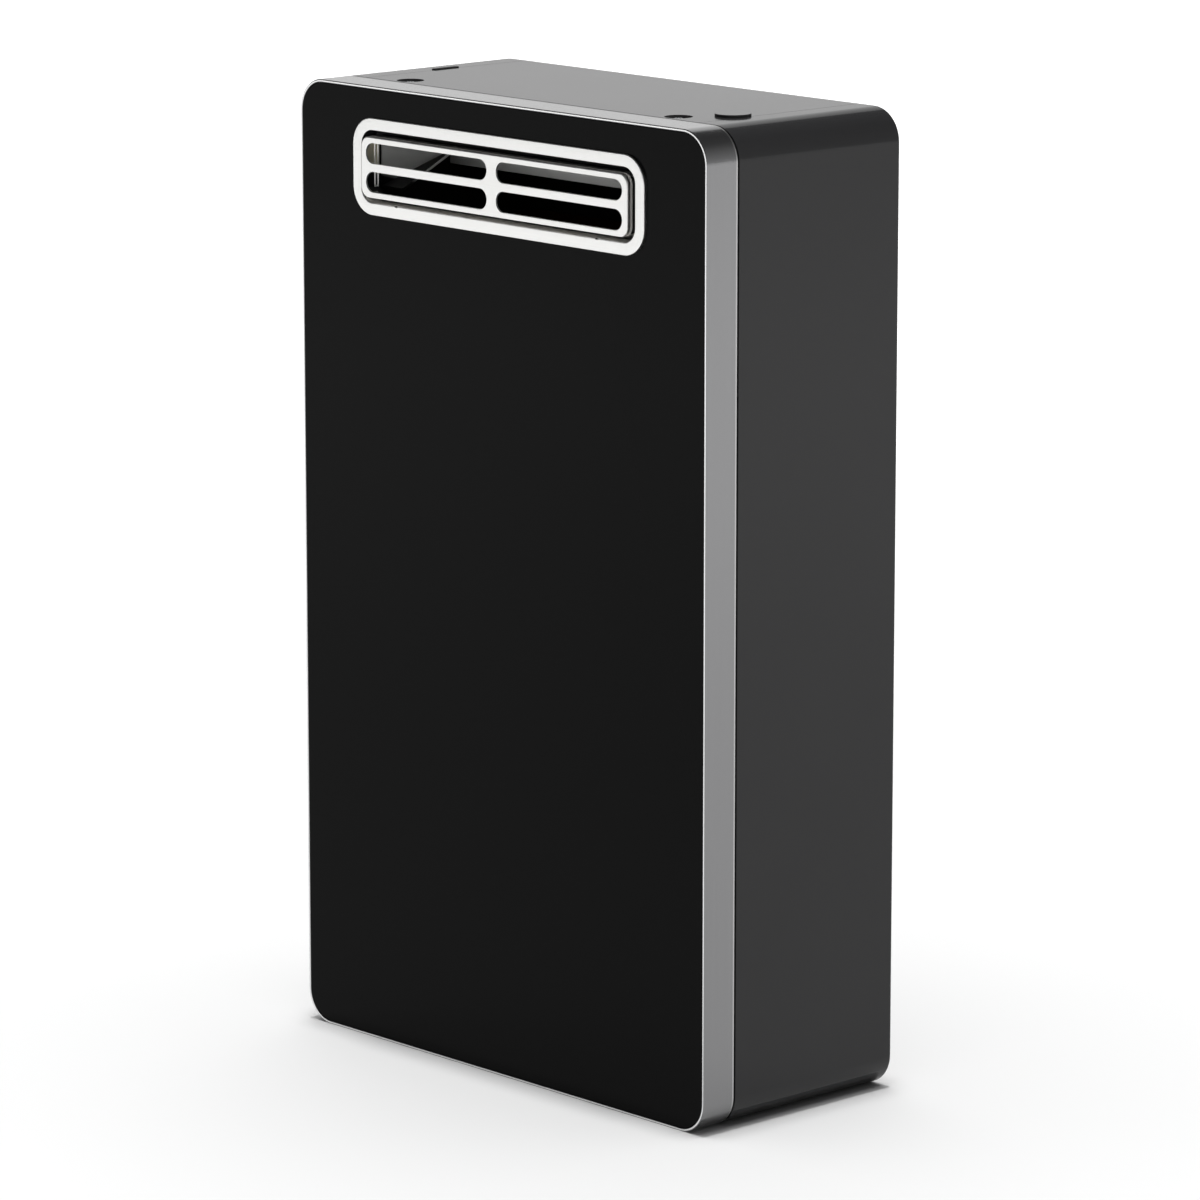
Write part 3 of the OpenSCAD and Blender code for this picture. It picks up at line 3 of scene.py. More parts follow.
import bmesh
import bpy
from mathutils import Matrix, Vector


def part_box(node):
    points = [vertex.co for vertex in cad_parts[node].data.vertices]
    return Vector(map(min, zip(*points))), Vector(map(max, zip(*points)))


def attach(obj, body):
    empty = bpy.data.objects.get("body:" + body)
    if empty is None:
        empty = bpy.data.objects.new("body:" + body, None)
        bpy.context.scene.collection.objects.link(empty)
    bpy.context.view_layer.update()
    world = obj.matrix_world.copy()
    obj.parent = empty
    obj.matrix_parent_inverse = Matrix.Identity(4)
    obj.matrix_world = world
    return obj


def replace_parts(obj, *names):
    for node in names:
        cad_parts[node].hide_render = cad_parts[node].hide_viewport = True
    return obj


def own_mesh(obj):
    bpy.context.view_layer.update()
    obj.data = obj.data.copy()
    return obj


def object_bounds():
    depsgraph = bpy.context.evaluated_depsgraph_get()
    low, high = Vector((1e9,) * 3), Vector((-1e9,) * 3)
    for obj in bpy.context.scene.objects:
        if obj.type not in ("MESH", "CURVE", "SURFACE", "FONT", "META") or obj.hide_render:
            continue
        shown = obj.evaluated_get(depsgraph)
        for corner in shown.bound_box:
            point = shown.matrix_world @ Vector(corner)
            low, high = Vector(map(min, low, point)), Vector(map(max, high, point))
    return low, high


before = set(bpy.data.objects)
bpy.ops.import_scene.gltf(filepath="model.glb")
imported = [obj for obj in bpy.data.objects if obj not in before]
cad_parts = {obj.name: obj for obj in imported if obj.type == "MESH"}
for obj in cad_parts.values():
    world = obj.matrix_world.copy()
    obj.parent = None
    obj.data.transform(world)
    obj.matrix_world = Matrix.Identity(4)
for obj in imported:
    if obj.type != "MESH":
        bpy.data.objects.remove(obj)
cad_box = [list(corner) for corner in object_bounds()]


# Casing sheets: two side panels that wrap the long corners, a top, a bottom, a rear panel and a base recess.
# 1.2 mm steel, folded, spot welded and powder coated dark grey with a fine satin orange peel.
# The side sheets lie on laps of the top and bottom sheets, so a thin seam shows along each edge.

def linear(hex_colour):
    """Turns an sRGB hex colour into the linear colour that a shader socket takes."""
    parts = [int(hex_colour[i:i + 2], 16) / 255 for i in (1, 3, 5)]
    return [c / 12.92 if c <= 0.04045 else ((c + 0.055) / 1.055) ** 2.4 for c in parts] + [1]


def add(material, kind, inputs=None, **settings):
    """Adds a node to a material or a world, with its settings, and its sockets set or linked."""
    made = material.node_tree.nodes.new(kind)
    for name, value in settings.items():
        setattr(made, name, value)
    for socket, value in (inputs or {}).items():
        if isinstance(value, bpy.types.NodeSocket):
            material.node_tree.links.new(value, made.inputs[socket])
        else:
            made.inputs[socket].default_value = value
    return made


def blank_material(name):
    """A new material with an empty node tree."""
    material = bpy.data.materials.new(name)
    material.use_nodes = True
    material.node_tree.nodes.clear()
    return material


def wear(node, material):
    """Gives a piece or a CAD node its material, alone in its slots."""
    node.data.materials.clear()
    node.data.materials.append(material)


# Powder coat: polyester melted on in an oven, so the film has a soft peel about 1.5 mm across,
# a low sheen, and a shade that drifts a little over a hand's width.
peel_size, hand_width = 0.0015, 0.09
powder_coat = blank_material("dark grey powder coat")
place = add(powder_coat, "ShaderNodeTexCoord").outputs["Object"]
peel = add(powder_coat, "ShaderNodeTexNoise",
           {"Vector": place, "Scale": 1 / peel_size, "Detail": 3, "Roughness": 0.5})
drift = add(powder_coat, "ShaderNodeTexNoise", {"Vector": place, "Scale": 1 / hand_width, "Detail": 2})
shade = add(powder_coat, "ShaderNodeMix",
            {"Factor": drift.outputs["Fac"], "A": linear("#282829"), "B": linear("#2c2c2d")},
            data_type="RGBA")
sheen = add(powder_coat, "ShaderNodeMapRange",
            {"Value": drift.outputs["Fac"], "To Min": 0.1, "To Max": 0.14})
skin = add(powder_coat, "ShaderNodeBump",
           {"Height": peel.outputs["Fac"], "Strength": 0.03, "Distance": 0.0002})
paint = add(powder_coat, "ShaderNodeBsdfPrincipled",
            {"Base Color": shade.outputs["Result"], "Roughness": sheen.outputs["Result"],
             "IOR": 1.33, "Normal": skin.outputs["Normal"]})
add(powder_coat, "ShaderNodeOutputMaterial", {"Surface": paint.outputs["BSDF"]})

sliver, weld = 0.000002, 0.000001
bend_angle = radians(40)


def smooth(piece):
    """Clears slivers from the active piece, shades its bends smoothly and keeps its flat faces flat."""
    bpy.ops.object.mode_set(mode="EDIT")
    bpy.ops.mesh.select_all(action="SELECT")
    bpy.ops.mesh.dissolve_degenerate(threshold=sliver)
    bpy.ops.object.mode_set(mode="OBJECT")
    bpy.ops.object.shade_smooth_by_angle(angle=bend_angle)
    even = piece.modifiers.new("even", "WEIGHTED_NORMAL")
    even.keep_sharp = True
    bpy.ops.object.modifier_apply(modifier=even.name)


def smooth_copy(node, name):
    """A copy of a CAD node, merged so that its bends shade smoothly; it replaces the node."""
    piece = bpy.data.objects.new(name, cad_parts[node].data.copy())
    bpy.context.scene.collection.objects.link(piece)
    bpy.ops.object.select_all(action="DESELECT")
    piece.select_set(True)
    bpy.context.view_layer.objects.active = piece
    bpy.ops.mesh.customdata_custom_splitnormals_clear()
    bpy.ops.object.mode_set(mode="EDIT")
    bpy.ops.mesh.select_all(action="SELECT")
    bpy.ops.mesh.remove_doubles(threshold=weld)
    bpy.ops.object.mode_set(mode="OBJECT")
    smooth(piece)
    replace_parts(piece, node)
    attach(piece, "heater")
    return piece


for node, name in (("left_side_panel", "left_side_sheet"), ("right_side_panel", "right_side_sheet"),
                   ("top_panel", "top_sheet"), ("bottom_panel", "bottom_sheet"), ("rear_panel", "rear_sheet"),
                   ("connection_tray", "recess_pressing")):
    wear(smooth_copy(node, name), powder_coat)


# Front band: an extruded aluminium channel bent round the front and anodised mid grey.
# Its brushing runs round the band. After anodising, the lip and a strip along the back edge are cut bare,
# and both are drawn lighter as painted highlights along those edges.
# A ledge inside it takes the glass, and a flange at the back lies on the cover's seal.

# Two depths are the same within a hair, and a normal's share along an axis tells a face that is square
# to the axis from one that runs along it.
hair = 0.00002
facing, edge_on = 0.9, 0.1
forward, backward = -1, 1


def pick(piece, kind, test):
    """In edit mode, selects the edges or the faces that pass a test."""
    bpy.ops.mesh.select_mode(type={"edges": "EDGE", "faces": "FACE"}[kind])
    bpy.ops.mesh.select_all(action="DESELECT")
    shape = bmesh.from_edit_mesh(piece.data)
    for element in getattr(shape, kind):
        if test(element):
            element.select_set(True)
    shape.select_flush_mode()
    bmesh.update_edit_mesh(piece.data)


def rounded_block(name, low, high, radius, steps=14):
    """A block between two corners with its four edges along Y rounded."""
    bpy.ops.object.select_all(action="DESELECT")
    bpy.ops.mesh.primitive_cube_add(size=1, location=(Vector(low) + Vector(high)) / 2)
    piece = bpy.context.object
    piece.name = name
    piece.scale = Vector(high) - Vector(low)
    bpy.ops.object.transform_apply(location=True, rotation=False, scale=True)
    bpy.ops.object.mode_set(mode="EDIT")
    pick(piece, "edges", lambda e: abs((e.verts[0].co - e.verts[1].co).normalized().y) > facing)
    bpy.ops.mesh.bevel(offset=radius, segments=steps, affect="EDGES")
    bpy.ops.object.mode_set(mode="OBJECT")
    return piece


def looking(way, y):
    """A test for a face at depth y that looks forward or backward."""
    return lambda f: way * f.normal.y > facing and abs(f.calc_center_median().y - y) < hair


def on_rim(y):
    """A test for an edge at depth y between a flat face and a wall."""
    return lambda e: (all(abs(v.co.y - y) < hair for v in e.verts)
                      and any(abs(f.normal.y) < edge_on for f in e.link_faces))


def combine(piece, operation, blocks):
    """Cuts blocks out of a piece or fuses them to it, and throws the blocks away."""
    for block in blocks:
        bpy.ops.object.select_all(action="DESELECT")
        piece.select_set(True)
        bpy.context.view_layer.objects.active = piece
        joined = piece.modifiers.new("joined", "BOOLEAN")
        joined.operation = operation
        joined.solver = "EXACT"
        joined.object = block
        bpy.ops.object.modifier_apply(modifier=joined.name)
        bpy.data.objects.remove(block)


corner_r, corner_steps = 0.020, 20
lip, lip_round = 0.0018, 0.0005
ledge_w, flange_w, web_t = 0.008, 0.012, 0.0015
cut_w, cut_h = 0.0012, 0.00025
overcut = 0.001
band_low, band_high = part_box("front_frame")
rim_y, band_back = band_low.y, band_high.y
cut_front = band_back - cut_w
glass_low, glass_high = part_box("glass_panel")
band = rounded_block("front_band", band_low, (band_high.x, cut_front, band_high.z), corner_r, corner_steps)
bpy.ops.object.mode_set(mode="EDIT")
pick(band, "faces", looking(backward, cut_front))
bpy.ops.mesh.extrude_region_move(TRANSFORM_OT_translate={"value": (0, cut_w, 0)})
bpy.ops.transform.resize(value=(1 - cut_h / band_high.x, 1, 1), center_override=(0, band_back, 0))
pick(band, "faces", looking(forward, rim_y))
bpy.ops.mesh.inset(thickness=lip)
bpy.ops.mesh.extrude_region_move(TRANSFORM_OT_translate={"value": (0, glass_high.y - rim_y, 0)})
pick(band, "edges", on_rim(rim_y))
bpy.ops.mesh.bevel(offset=lip_round, segments=2, affect="EDGES")
bpy.ops.object.mode_set(mode="OBJECT")


def hollow(name, inset, front, back):
    """A block that follows the band's outline at an inset; it hollows the band between two depths."""
    return rounded_block(name, (band_low.x + inset, front, band_low.z + inset),
                         (band_high.x - inset, back, band_high.z - inset), corner_r - inset, corner_steps)


ledge_back, flange_front = glass_high.y + web_t, band_back - web_t
combine(band, "DIFFERENCE", [hollow("channel", lip, ledge_back, flange_front),
                             hollow("ledge_opening", ledge_w, glass_high.y - overcut, ledge_back + overcut),
                             hollow("flange_opening", flange_w, flange_front - overcut, band_back + overcut)])
smooth(band)


def surface(name, dark, pale, grain, gloss, metallic=0):
    """A material whose shade and gloss drift between two ends over a grain of a given size in metres."""
    material = blank_material(name)
    place = add(material, "ShaderNodeTexCoord").outputs["Object"]
    laid = add(material, "ShaderNodeMapping", {"Vector": place, "Scale": [1 / size for size in grain]})
    marks = add(material, "ShaderNodeTexNoise", {"Vector": laid.outputs["Vector"], "Scale": 1, "Detail": 2})
    shade = add(material, "ShaderNodeMix",
                {"Factor": marks.outputs["Fac"], "A": linear(dark), "B": linear(pale)}, data_type="RGBA")
    sheen = add(material, "ShaderNodeMapRange",
                {"Value": marks.outputs["Fac"], "To Min": gloss[0], "To Max": gloss[1]})
    finish = add(material, "ShaderNodeBsdfPrincipled",
                 {"Base Color": shade.outputs["Result"], "Metallic": metallic,
                  "Roughness": sheen.outputs["Result"]})
    add(material, "ShaderNodeOutputMaterial", {"Surface": finish.outputs["BSDF"]})
    return material


# Anodised aluminium: grey brushed metal under a clear oxide film, so it brightens at a low angle. The
# strokes are about 0.3 mm apart and run the length of the band; they are drawn at 0.6 mm so that they show.
anodised = surface("grey anodised aluminium", "#7b7b7c", "#838384", (0.12, 0.0006, 0.12), (0.17, 0.23), 1)
oxide_film = anodised.node_tree.nodes["Principled BSDF"].inputs
oxide_film["Coat Weight"].default_value = 1
oxide_film["Coat IOR"].default_value = 1.33
oxide_film["Coat Roughness"].default_value = 0.14

# Bright cut aluminium: the bare metal that a diamond tool leaves on the lip, near white, so it is partly a
# painted highlight.
bright_cut_and_painted_highlight = surface("bright cut aluminium with painted highlight", "#e6e6e6", "#eeeeee", (0.002, 0.002, 0.002), (0.18, 0.26), 1)

# Satin cut aluminium: the same metal after a coarser cutter, so it is a shade darker; along the band's back
# edge it is a painted highlight.
satin_cut_and_painted_highlight = surface("satin cut aluminium with painted highlight", "#b0b0b0", "#bababa", (0.002, 0.002, 0.002), (0.25, 0.35), 1)


def part_wear(piece, material, test):
    """Gives the faces of a piece that pass a test another material than the rest."""
    slots = piece.data.materials
    if material.name not in slots:
        slots.append(material)
    for face in piece.data.polygons:
        if test(face):
            face.material_index = slots.find(material.name)


wear(band, anodised)
# The lip's face is painted near white, partly as a highlight.
part_wear(band, bright_cut_and_painted_highlight, lambda f: f.center.y < rim_y + hair)
# The strip along the back edge is painted lighter as that edge's highlight.
part_wear(band, satin_cut_and_painted_highlight, lambda f: cut_front < f.center.y < band_back - hair)
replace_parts(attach(band, "heater"), "front_frame")


# Front glass: 4 mm toughened sheet, painted black on its back and bonded to the cover tray.
# Its edges are ground and it stops just behind the band's lip; the outlet is cut out of it.

bezel_low, bezel_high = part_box("exhaust_bezel")
outlet_z = (bezel_low.z + bezel_high.z) / 2
bezel_rim = 0.0075
opening = Vector((bezel_high.x - bezel_rim, 0, (bezel_high.z - bezel_low.z) / 2 - bezel_rim))
opening_r = 0.0095
clear, ground_edge = 0.0014, 0.0003
glass_r = corner_r - (glass_low.x - band_low.x)
glass = rounded_block("front_glass", glass_low, glass_high, glass_r, corner_steps)
hole_x, hole_z = opening.x + clear, opening.z + clear
combine(glass, "DIFFERENCE", [
    rounded_block("outlet_hole", (-hole_x, glass_low.y - overcut, outlet_z - hole_z),
                  (hole_x, glass_high.y + overcut, outlet_z + hole_z), opening_r + clear)])
bpy.ops.object.mode_set(mode="EDIT")
pick(glass, "edges", on_rim(glass_low.y))
bpy.ops.mesh.bevel(offset=ground_edge, segments=2, affect="EDGES")
bpy.ops.object.mode_set(mode="OBJECT")
smooth(glass)

# Back-painted glass: deep black under a smooth clear face, with a trace of wiping in its gloss.
wipe_size = 0.06
black_glass = blank_material("black back-painted glass")
place = add(black_glass, "ShaderNodeTexCoord").outputs["Object"]
wiping = add(black_glass, "ShaderNodeTexNoise", {"Vector": place, "Scale": 1 / wipe_size, "Detail": 3})
gloss = add(black_glass, "ShaderNodeMapRange",
            {"Value": wiping.outputs["Fac"], "To Min": 0.03, "To Max": 0.06})
glazing = add(black_glass, "ShaderNodeBsdfPrincipled",
              {"Base Color": linear("#080808"), "Roughness": gloss.outputs["Result"], "IOR": 1.13})
add(black_glass, "ShaderNodeOutputMaterial", {"Surface": glazing.outputs["BSDF"]})
wear(glass, black_glass)
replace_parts(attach(glass, "heater"), "glass_panel")


# Exhaust bezel: a stainless pressing with a flat ring on the glass and a sleeve back through the cover.
# Two drain notches are nicked into the ring's lower inner edge.

ring_r, ring_steps, ring_round = 0.017, 16, 0.0006
sleeve_t = 0.001
notch_x, notch_half = 0.088, 0.0015
notch_r, notch_steps = 0.0004, 3
notch_down, notch_up = 0.0008, 0.001
sleeve_back = bezel_high.y
ring_back = glass_low.y
sill_z = outlet_z - opening.z
bezel = rounded_block("exhaust_ring", bezel_low, (bezel_high.x, ring_back, bezel_high.z), ring_r, ring_steps)
bpy.ops.object.mode_set(mode="EDIT")
pick(bezel, "faces", looking(forward, bezel_low.y))
bpy.ops.mesh.inset(thickness=bezel_rim)
bpy.ops.mesh.delete(type="FACE")
pick(bezel, "faces", looking(backward, ring_back))
bpy.ops.mesh.inset(thickness=bezel_rim - sleeve_t)
bpy.ops.mesh.extrude_region_move(TRANSFORM_OT_translate={"value": (0, sleeve_back - ring_back, 0)})
bpy.ops.mesh.inset(thickness=sleeve_t)
bpy.ops.mesh.delete(type="FACE")
pick(bezel, "edges", lambda e: e.is_boundary)
bpy.ops.mesh.bridge_edge_loops()
pick(bezel, "edges", on_rim(bezel_low.y))
bpy.ops.mesh.bevel(offset=ring_round, segments=3, affect="EDGES")
bpy.ops.mesh.select_all(action="SELECT")
bpy.ops.mesh.normals_make_consistent(inside=False)
bpy.ops.object.mode_set(mode="OBJECT")
combine(bezel, "DIFFERENCE", [
    rounded_block("notch", (x - notch_half, bezel_low.y - overcut, sill_z - notch_down),
                  (x + notch_half, rim_y, sill_z + notch_up), notch_r, notch_steps)
    for x in (-notch_x, notch_x)])
smooth(bezel)

# Satin stainless steel: pale, with fine strokes along the length; they are drawn at 0.5 mm so that they show.
satin_steel = surface("satin stainless steel", "#e6e6e4", "#eeeeec", (0.05, 0.0005, 0.0005), (0.26, 0.36), 1)
wear(bezel, satin_steel)

# Heat-tinted steel: the walls round the hot gas have gone a dull grey with a trace of straw.
tinted_steel = surface("heat-tinted stainless steel", "#dcd9d4", "#e4e1dc", (0.02, 0.02, 0.02),
                       (0.45, 0.55), 0.2)

# Painted shade: black steel in patches about 20 mm across, painted on the sleeve's left wall and roof as the
# shade in the gap round the grille; the floor is only tinted, and the right wall stays bare.
painted_shade_black = surface("black steel as painted shade", "#0c0c0c", "#181716", (0.02, 0.02, 0.02), (0.55, 0.65))
mostly, leaning = 0.7, 0.3


def inside_ring(face):
    """Tells whether a face of the bezel lines its opening."""
    return (face.center.y > bezel_low.y + ring_round + hair
            and abs(face.center.x) < opening.x + sleeve_t / 2
            and abs(face.center.z - outlet_z) < opening.z + sleeve_t / 2)


# The sleeve's left wall and roof are painted black as shade.
part_wear(bezel, painted_shade_black, lambda f: inside_ring(f) and f.normal.x > -leaning)
part_wear(bezel, tinted_steel, lambda f: inside_ring(f) and f.normal.z > mostly)
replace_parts(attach(bezel, "heater"), "exhaust_bezel")


# Exhaust grille: one stainless pressing that stands through the bezel, with four round-ended slots, rolled
# front edges, side walls and a flange that is spot welded inside the bezel's sleeve. Two stiffening beads
# run up each end wall near the flange.

sheet_t, roll, roll_steps = 0.0012, 0.0007, 8
grille_gap = 0.0035
grille_low, grille_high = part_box("exhaust_grille")
grille_x = opening.x - grille_gap
grille_z = opening.z - grille_gap
flange_y = sleeve_back - sheet_t
flange_out = grille_high.x - grille_x
clean_back = rim_y - 0.0018
# The depths behind which the end walls and the long walls are painted black as shade.
end_shade_depth, long_shade_depth = rim_y - 0.0002, rim_y + 0.0058
grille = rounded_block("exhaust_slots", (-grille_x, grille_low.y, outlet_z - grille_z),
                       (grille_x, flange_y, outlet_z + grille_z), opening_r - grille_gap, roll_steps)
bpy.ops.object.mode_set(mode="EDIT")
pick(grille, "faces", looking(backward, flange_y))
bpy.ops.mesh.delete(type="ONLY_FACE")
pick(grille, "edges", lambda e: e.is_boundary)
bpy.ops.mesh.extrude_region_move()
bpy.ops.transform.resize(value=(1 + flange_out / grille_x, 1, 1 + flange_out / grille_z),
                         center_override=(0, flange_y, outlet_z))
pick(grille, "edges", on_rim(grille_low.y))
bpy.ops.mesh.bevel(offset=roll, segments=roll_steps, affect="EDGES")
for y in (clean_back, end_shade_depth, long_shade_depth):
    bpy.ops.mesh.select_all(action="SELECT")
    bpy.ops.mesh.bisect(plane_co=(0, y, 0), plane_no=(0, 1, 0))
bpy.ops.mesh.select_all(action="SELECT")
bpy.ops.mesh.normals_make_consistent(inside=False)
bpy.ops.object.mode_set(mode="OBJECT")
sheet = grille.modifiers.new("sheet", "SOLIDIFY")
sheet.thickness = sheet_t
sheet.offset = -1
bpy.ops.object.modifier_apply(modifier=sheet.name)

bead_r, bead_dome, bead_step = 0.0006, 0.00054, 0.0025
bead_top = grille_z - 0.005


def upright_bead(x, y):
    """A round upright rib with domed ends."""
    bpy.ops.object.select_all(action="DESELECT")
    bpy.ops.mesh.primitive_cylinder_add(vertices=24, radius=bead_r, depth=2 * bead_top,
                                        location=(x, y, outlet_z))
    rib = bpy.context.object
    bpy.ops.object.transform_apply(location=True, rotation=False, scale=False)
    bpy.ops.object.mode_set(mode="EDIT")
    pick(rib, "edges", lambda e: sum(abs(f.normal.z) > facing for f in e.link_faces) == 1)
    bpy.ops.mesh.bevel(offset=bead_dome, segments=4, affect="EDGES")
    bpy.ops.object.mode_set(mode="OBJECT")
    return rib


wall_x = grille_x - sheet_t
combine(grille, "UNION", [upright_bead(x, flange_y - before) for x in (-wall_x, wall_x)
                          for before in (bead_r, bead_r + bead_step)])
slot_x, slot_z = 0.05815, 0.00865
half_slot_w, half_slot_h = 0.054, 0.0061
slot_reach, slot_round = 0.005, 0.0003
combine(grille, "DIFFERENCE", [
    rounded_block("slot", (x - half_slot_w, grille_low.y - overcut, z - half_slot_h),
                  (x + half_slot_w, grille_low.y + slot_reach, z + half_slot_h), half_slot_h - hair)
    for x in (-slot_x, slot_x) for z in (outlet_z - slot_z, outlet_z + slot_z)])
bpy.ops.object.mode_set(mode="EDIT")
pick(grille, "edges", on_rim(grille_low.y))
bpy.ops.mesh.bevel(offset=slot_round, segments=2, affect="EDGES")
bpy.ops.object.mode_set(mode="OBJECT")
smooth(grille)
wear(grille, satin_steel)
wall_middle = grille_x - sheet_t / 2
past_bead = wall_x - 2 * bead_r


def in_painted_shade(face):
    """Tells whether a face of the grille lies in the painted shade deep in the gap, and not on a bead."""
    on_bead = past_bead < abs(face.center.x) < wall_middle and abs(face.center.z - outlet_z) < bead_top
    return face.center.y > (end_shade_depth if abs(face.normal.x) > mostly else long_shade_depth) and not on_bead


# The walls are tinted from just outside the bezel, painted black further in as the shade deep in the gap, and
# bare on the beads.
part_wear(grille, tinted_steel, lambda f: f.center.y > clean_back)
part_wear(grille, satin_steel, lambda f: f.center.y > end_shade_depth and abs(f.center.x) < wall_middle)
part_wear(grille, painted_shade_black, in_painted_shade)

# The plane below which the shade is painted falls toward the back at this slope, with a soft edge this wide.
shade_fall, shade_edge = 0.307, 0.005
square_on = 0.99


def painted_shade_below(name, clean):
    """Steel painted dark as shade below a plane falling back from the middle of the grille's front."""
    material = blank_material(name)
    place = add(material, "ShaderNodeTexCoord").outputs["Object"]
    rise = add(material, "ShaderNodeVectorMath", {0: place, 1: (0, shade_fall, 1)}, operation="DOT_PRODUCT")
    middle = outlet_z + shade_fall * grille_low.y
    lifted = add(material, "ShaderNodeMapRange",
                 {"Value": rise.outputs["Value"], "From Min": middle - shade_edge / 2,
                  "From Max": middle + shade_edge / 2})
    # Below the plane the colour is near black: painted shade.
    shade = add(material, "ShaderNodeMix",
                {"Factor": lifted.outputs["Result"], "A": linear("#121110"), "B": linear(clean)},
                data_type="RGBA")
    skin = add(material, "ShaderNodeBsdfPrincipled",
               {"Base Color": shade.outputs["Result"], "Metallic": 0.5, "Roughness": 0.4})
    add(material, "ShaderNodeOutputMaterial", {"Surface": skin.outputs["BSDF"]})
    return material


# Straw tint: the end walls are straw where the gas rises past them, and painted dark below as shade.
straw_and_painted_shade = painted_shade_below("straw-tinted stainless steel with painted shade", "#d6d0b8")
part_wear(grille, straw_and_painted_shade, lambda f: f.center.y > clean_back and abs(f.normal.x) > square_on
          and abs(f.center.x) < wall_middle)
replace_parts(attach(grille, "heater"), "exhaust_grille")


# Flue: a box over the heat exchanger, painted black inside as the shade there, with a bare steel deflector
# under its roof that shows through the slots, and a woven ceramic seal to the front cover.

# The box is painted black as the shade inside it.
wear(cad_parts["flue_box"], painted_shade_black)

# Dulled stainless sheet: the gas has taken half its shine, so it spreads the light that falls through the
# slots. It is painted dark as shade below the grille's middle plane and black on its two flanges' sloping
# tops.
dulled_sheet_and_painted_shade = painted_shade_below("dulled stainless sheet with painted shade", "#ececea")
hood = smooth_copy("flue_deflector", "exhaust_hood")
wear(hood, dulled_sheet_and_painted_shade)
# The flanges' sloping tops are painted black as shade.
part_wear(hood, painted_shade_black, lambda f: facing < f.normal.z < square_on)

# Ceramic rope: off-white fibre in a weave about 2 mm across.
weave_size = 0.002
ceramic_rope = blank_material("woven ceramic rope")
place = add(ceramic_rope, "ShaderNodeTexCoord").outputs["Object"]
weave = add(ceramic_rope, "ShaderNodeTexVoronoi", {"Vector": place, "Scale": 1 / weave_size})
shade = add(ceramic_rope, "ShaderNodeMix",
            {"Factor": weave.outputs["Distance"], "A": linear("#e2ddd0"), "B": linear("#b9b3a4")},
            data_type="RGBA")
fibre = add(ceramic_rope, "ShaderNodeBsdfPrincipled",
            {"Base Color": shade.outputs["Result"], "Roughness": 0.9})
add(ceramic_rope, "ShaderNodeOutputMaterial", {"Surface": fibre.outputs["BSDF"]})
wear(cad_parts["flue_gasket"], ceramic_rope)


# Cover screws: four coated steel screws with low domed heads and a cross drive.
# Each one sits in a dish pressed into the top or the bottom sheet and pulls on a lug of the cover.

# Zinc flake: a dull light grey dip coating, slightly cloudy.
zinc_flake = surface("zinc flake coating", "#8e9092", "#9c9ea0", (0.003, 0.003, 0.003), (0.4, 0.5))
wear(smooth_copy("cover_screws", "domed_screws"), zinc_flake)


# Inside of the front cover: a steel tray that carries the glass and four lugs, and a rubber seal
# that shows as the black line behind the band.

# Zinc plate: cool grey with a faint crystal pattern about 8 mm across.
zinc = surface("zinc-plated steel", "#8f9193", "#a6a8aa", (0.008, 0.008, 0.008), (0.28, 0.4), 1)
for node in ("cover_tray", "cover_lugs"):
    wear(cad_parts[node], zinc)

# Rubber: matt black with a slightly uneven bloom.
rubber = surface("black rubber", "#0b0b0b", "#131313", (0.01, 0.01, 0.01), (0.6, 0.75))
wear(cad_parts["cover_gasket"], rubber)


# Cap and grommet: a low round push-in cap on the top right, coated like the casing,
# and an oblong rubber grommet in the fold on the top left.

cap_low, cap_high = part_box("top_plug")
cap_middle = (cap_low + cap_high) / 2
cap_r = (cap_high.x - cap_low.x) / 2
cap_round, stem_r = 0.0005, 0.005
sheet_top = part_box("top_panel")[1].z
bpy.ops.object.select_all(action="DESELECT")
bpy.ops.mesh.primitive_cylinder_add(vertices=72, radius=cap_r, depth=cap_high.z - sheet_top,
                                    location=(cap_middle.x, cap_middle.y, (cap_high.z + sheet_top) / 2))
cap = bpy.context.object
cap.name = "round_cap"
bpy.ops.object.transform_apply(location=True, rotation=False, scale=False)
bpy.ops.object.mode_set(mode="EDIT")
pick(cap, "edges", lambda e: all(abs(v.co.z - cap_high.z) < hair for v in e.verts))
bpy.ops.mesh.bevel(offset=cap_round, segments=4, affect="EDGES")
pick(cap, "faces", lambda f: f.normal.z < -facing)
bpy.ops.mesh.inset(thickness=cap_r - stem_r)
bpy.ops.mesh.extrude_region_move(TRANSFORM_OT_translate={"value": (0, 0, cap_low.z - sheet_top)})
bpy.ops.object.mode_set(mode="OBJECT")
smooth(cap)
wear(cap, powder_coat)
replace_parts(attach(cap, "heater"), "top_plug")
wear(smooth_copy("top_grommet", "fold_grommet"), rubber)


# Heat exchanger: a copper shell with one tube that runs back and forth through a stack of copper fins.
# All of it is brazed in an oven, which leaves the copper dull and brown.

# Fired copper: brown with darker clouds about 30 mm across.
copper = surface("fired copper", "#5d3524", "#8f5a3c", (0.03, 0.03, 0.03), (0.35, 0.5), 1)
for node in ("exchanger_shell", "exchanger_tubes"):
    wear(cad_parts[node], copper)

# Sooted copper: the fins stand in the flame's way and are nearly black.
black_copper = surface("sooted copper", "#0d0807", "#1a110d", (0.02, 0.02, 0.02), (0.6, 0.8))
wear(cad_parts["exchanger_fins"], black_copper)


# Combustion: a folded chamber and tray, eight stainless burner bars, a cast gas rail with brass nozzles,
# ceramic electrodes that poke through the chamber's front, a sight glass and two brackets to the back.

# Aluminised sheet: pale grey and dull, with long rolling marks about 2 mm apart.
dull_sheet = surface("aluminised steel sheet", "#b4b5b7", "#c8c9cb", (0.08, 0.002, 0.002), (0.4, 0.55), 1)
for node in ("combustion_chamber", "burner_tray", "core_brackets"):
    wear(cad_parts[node], dull_sheet)
wear(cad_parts["burner_bars"], satin_steel)

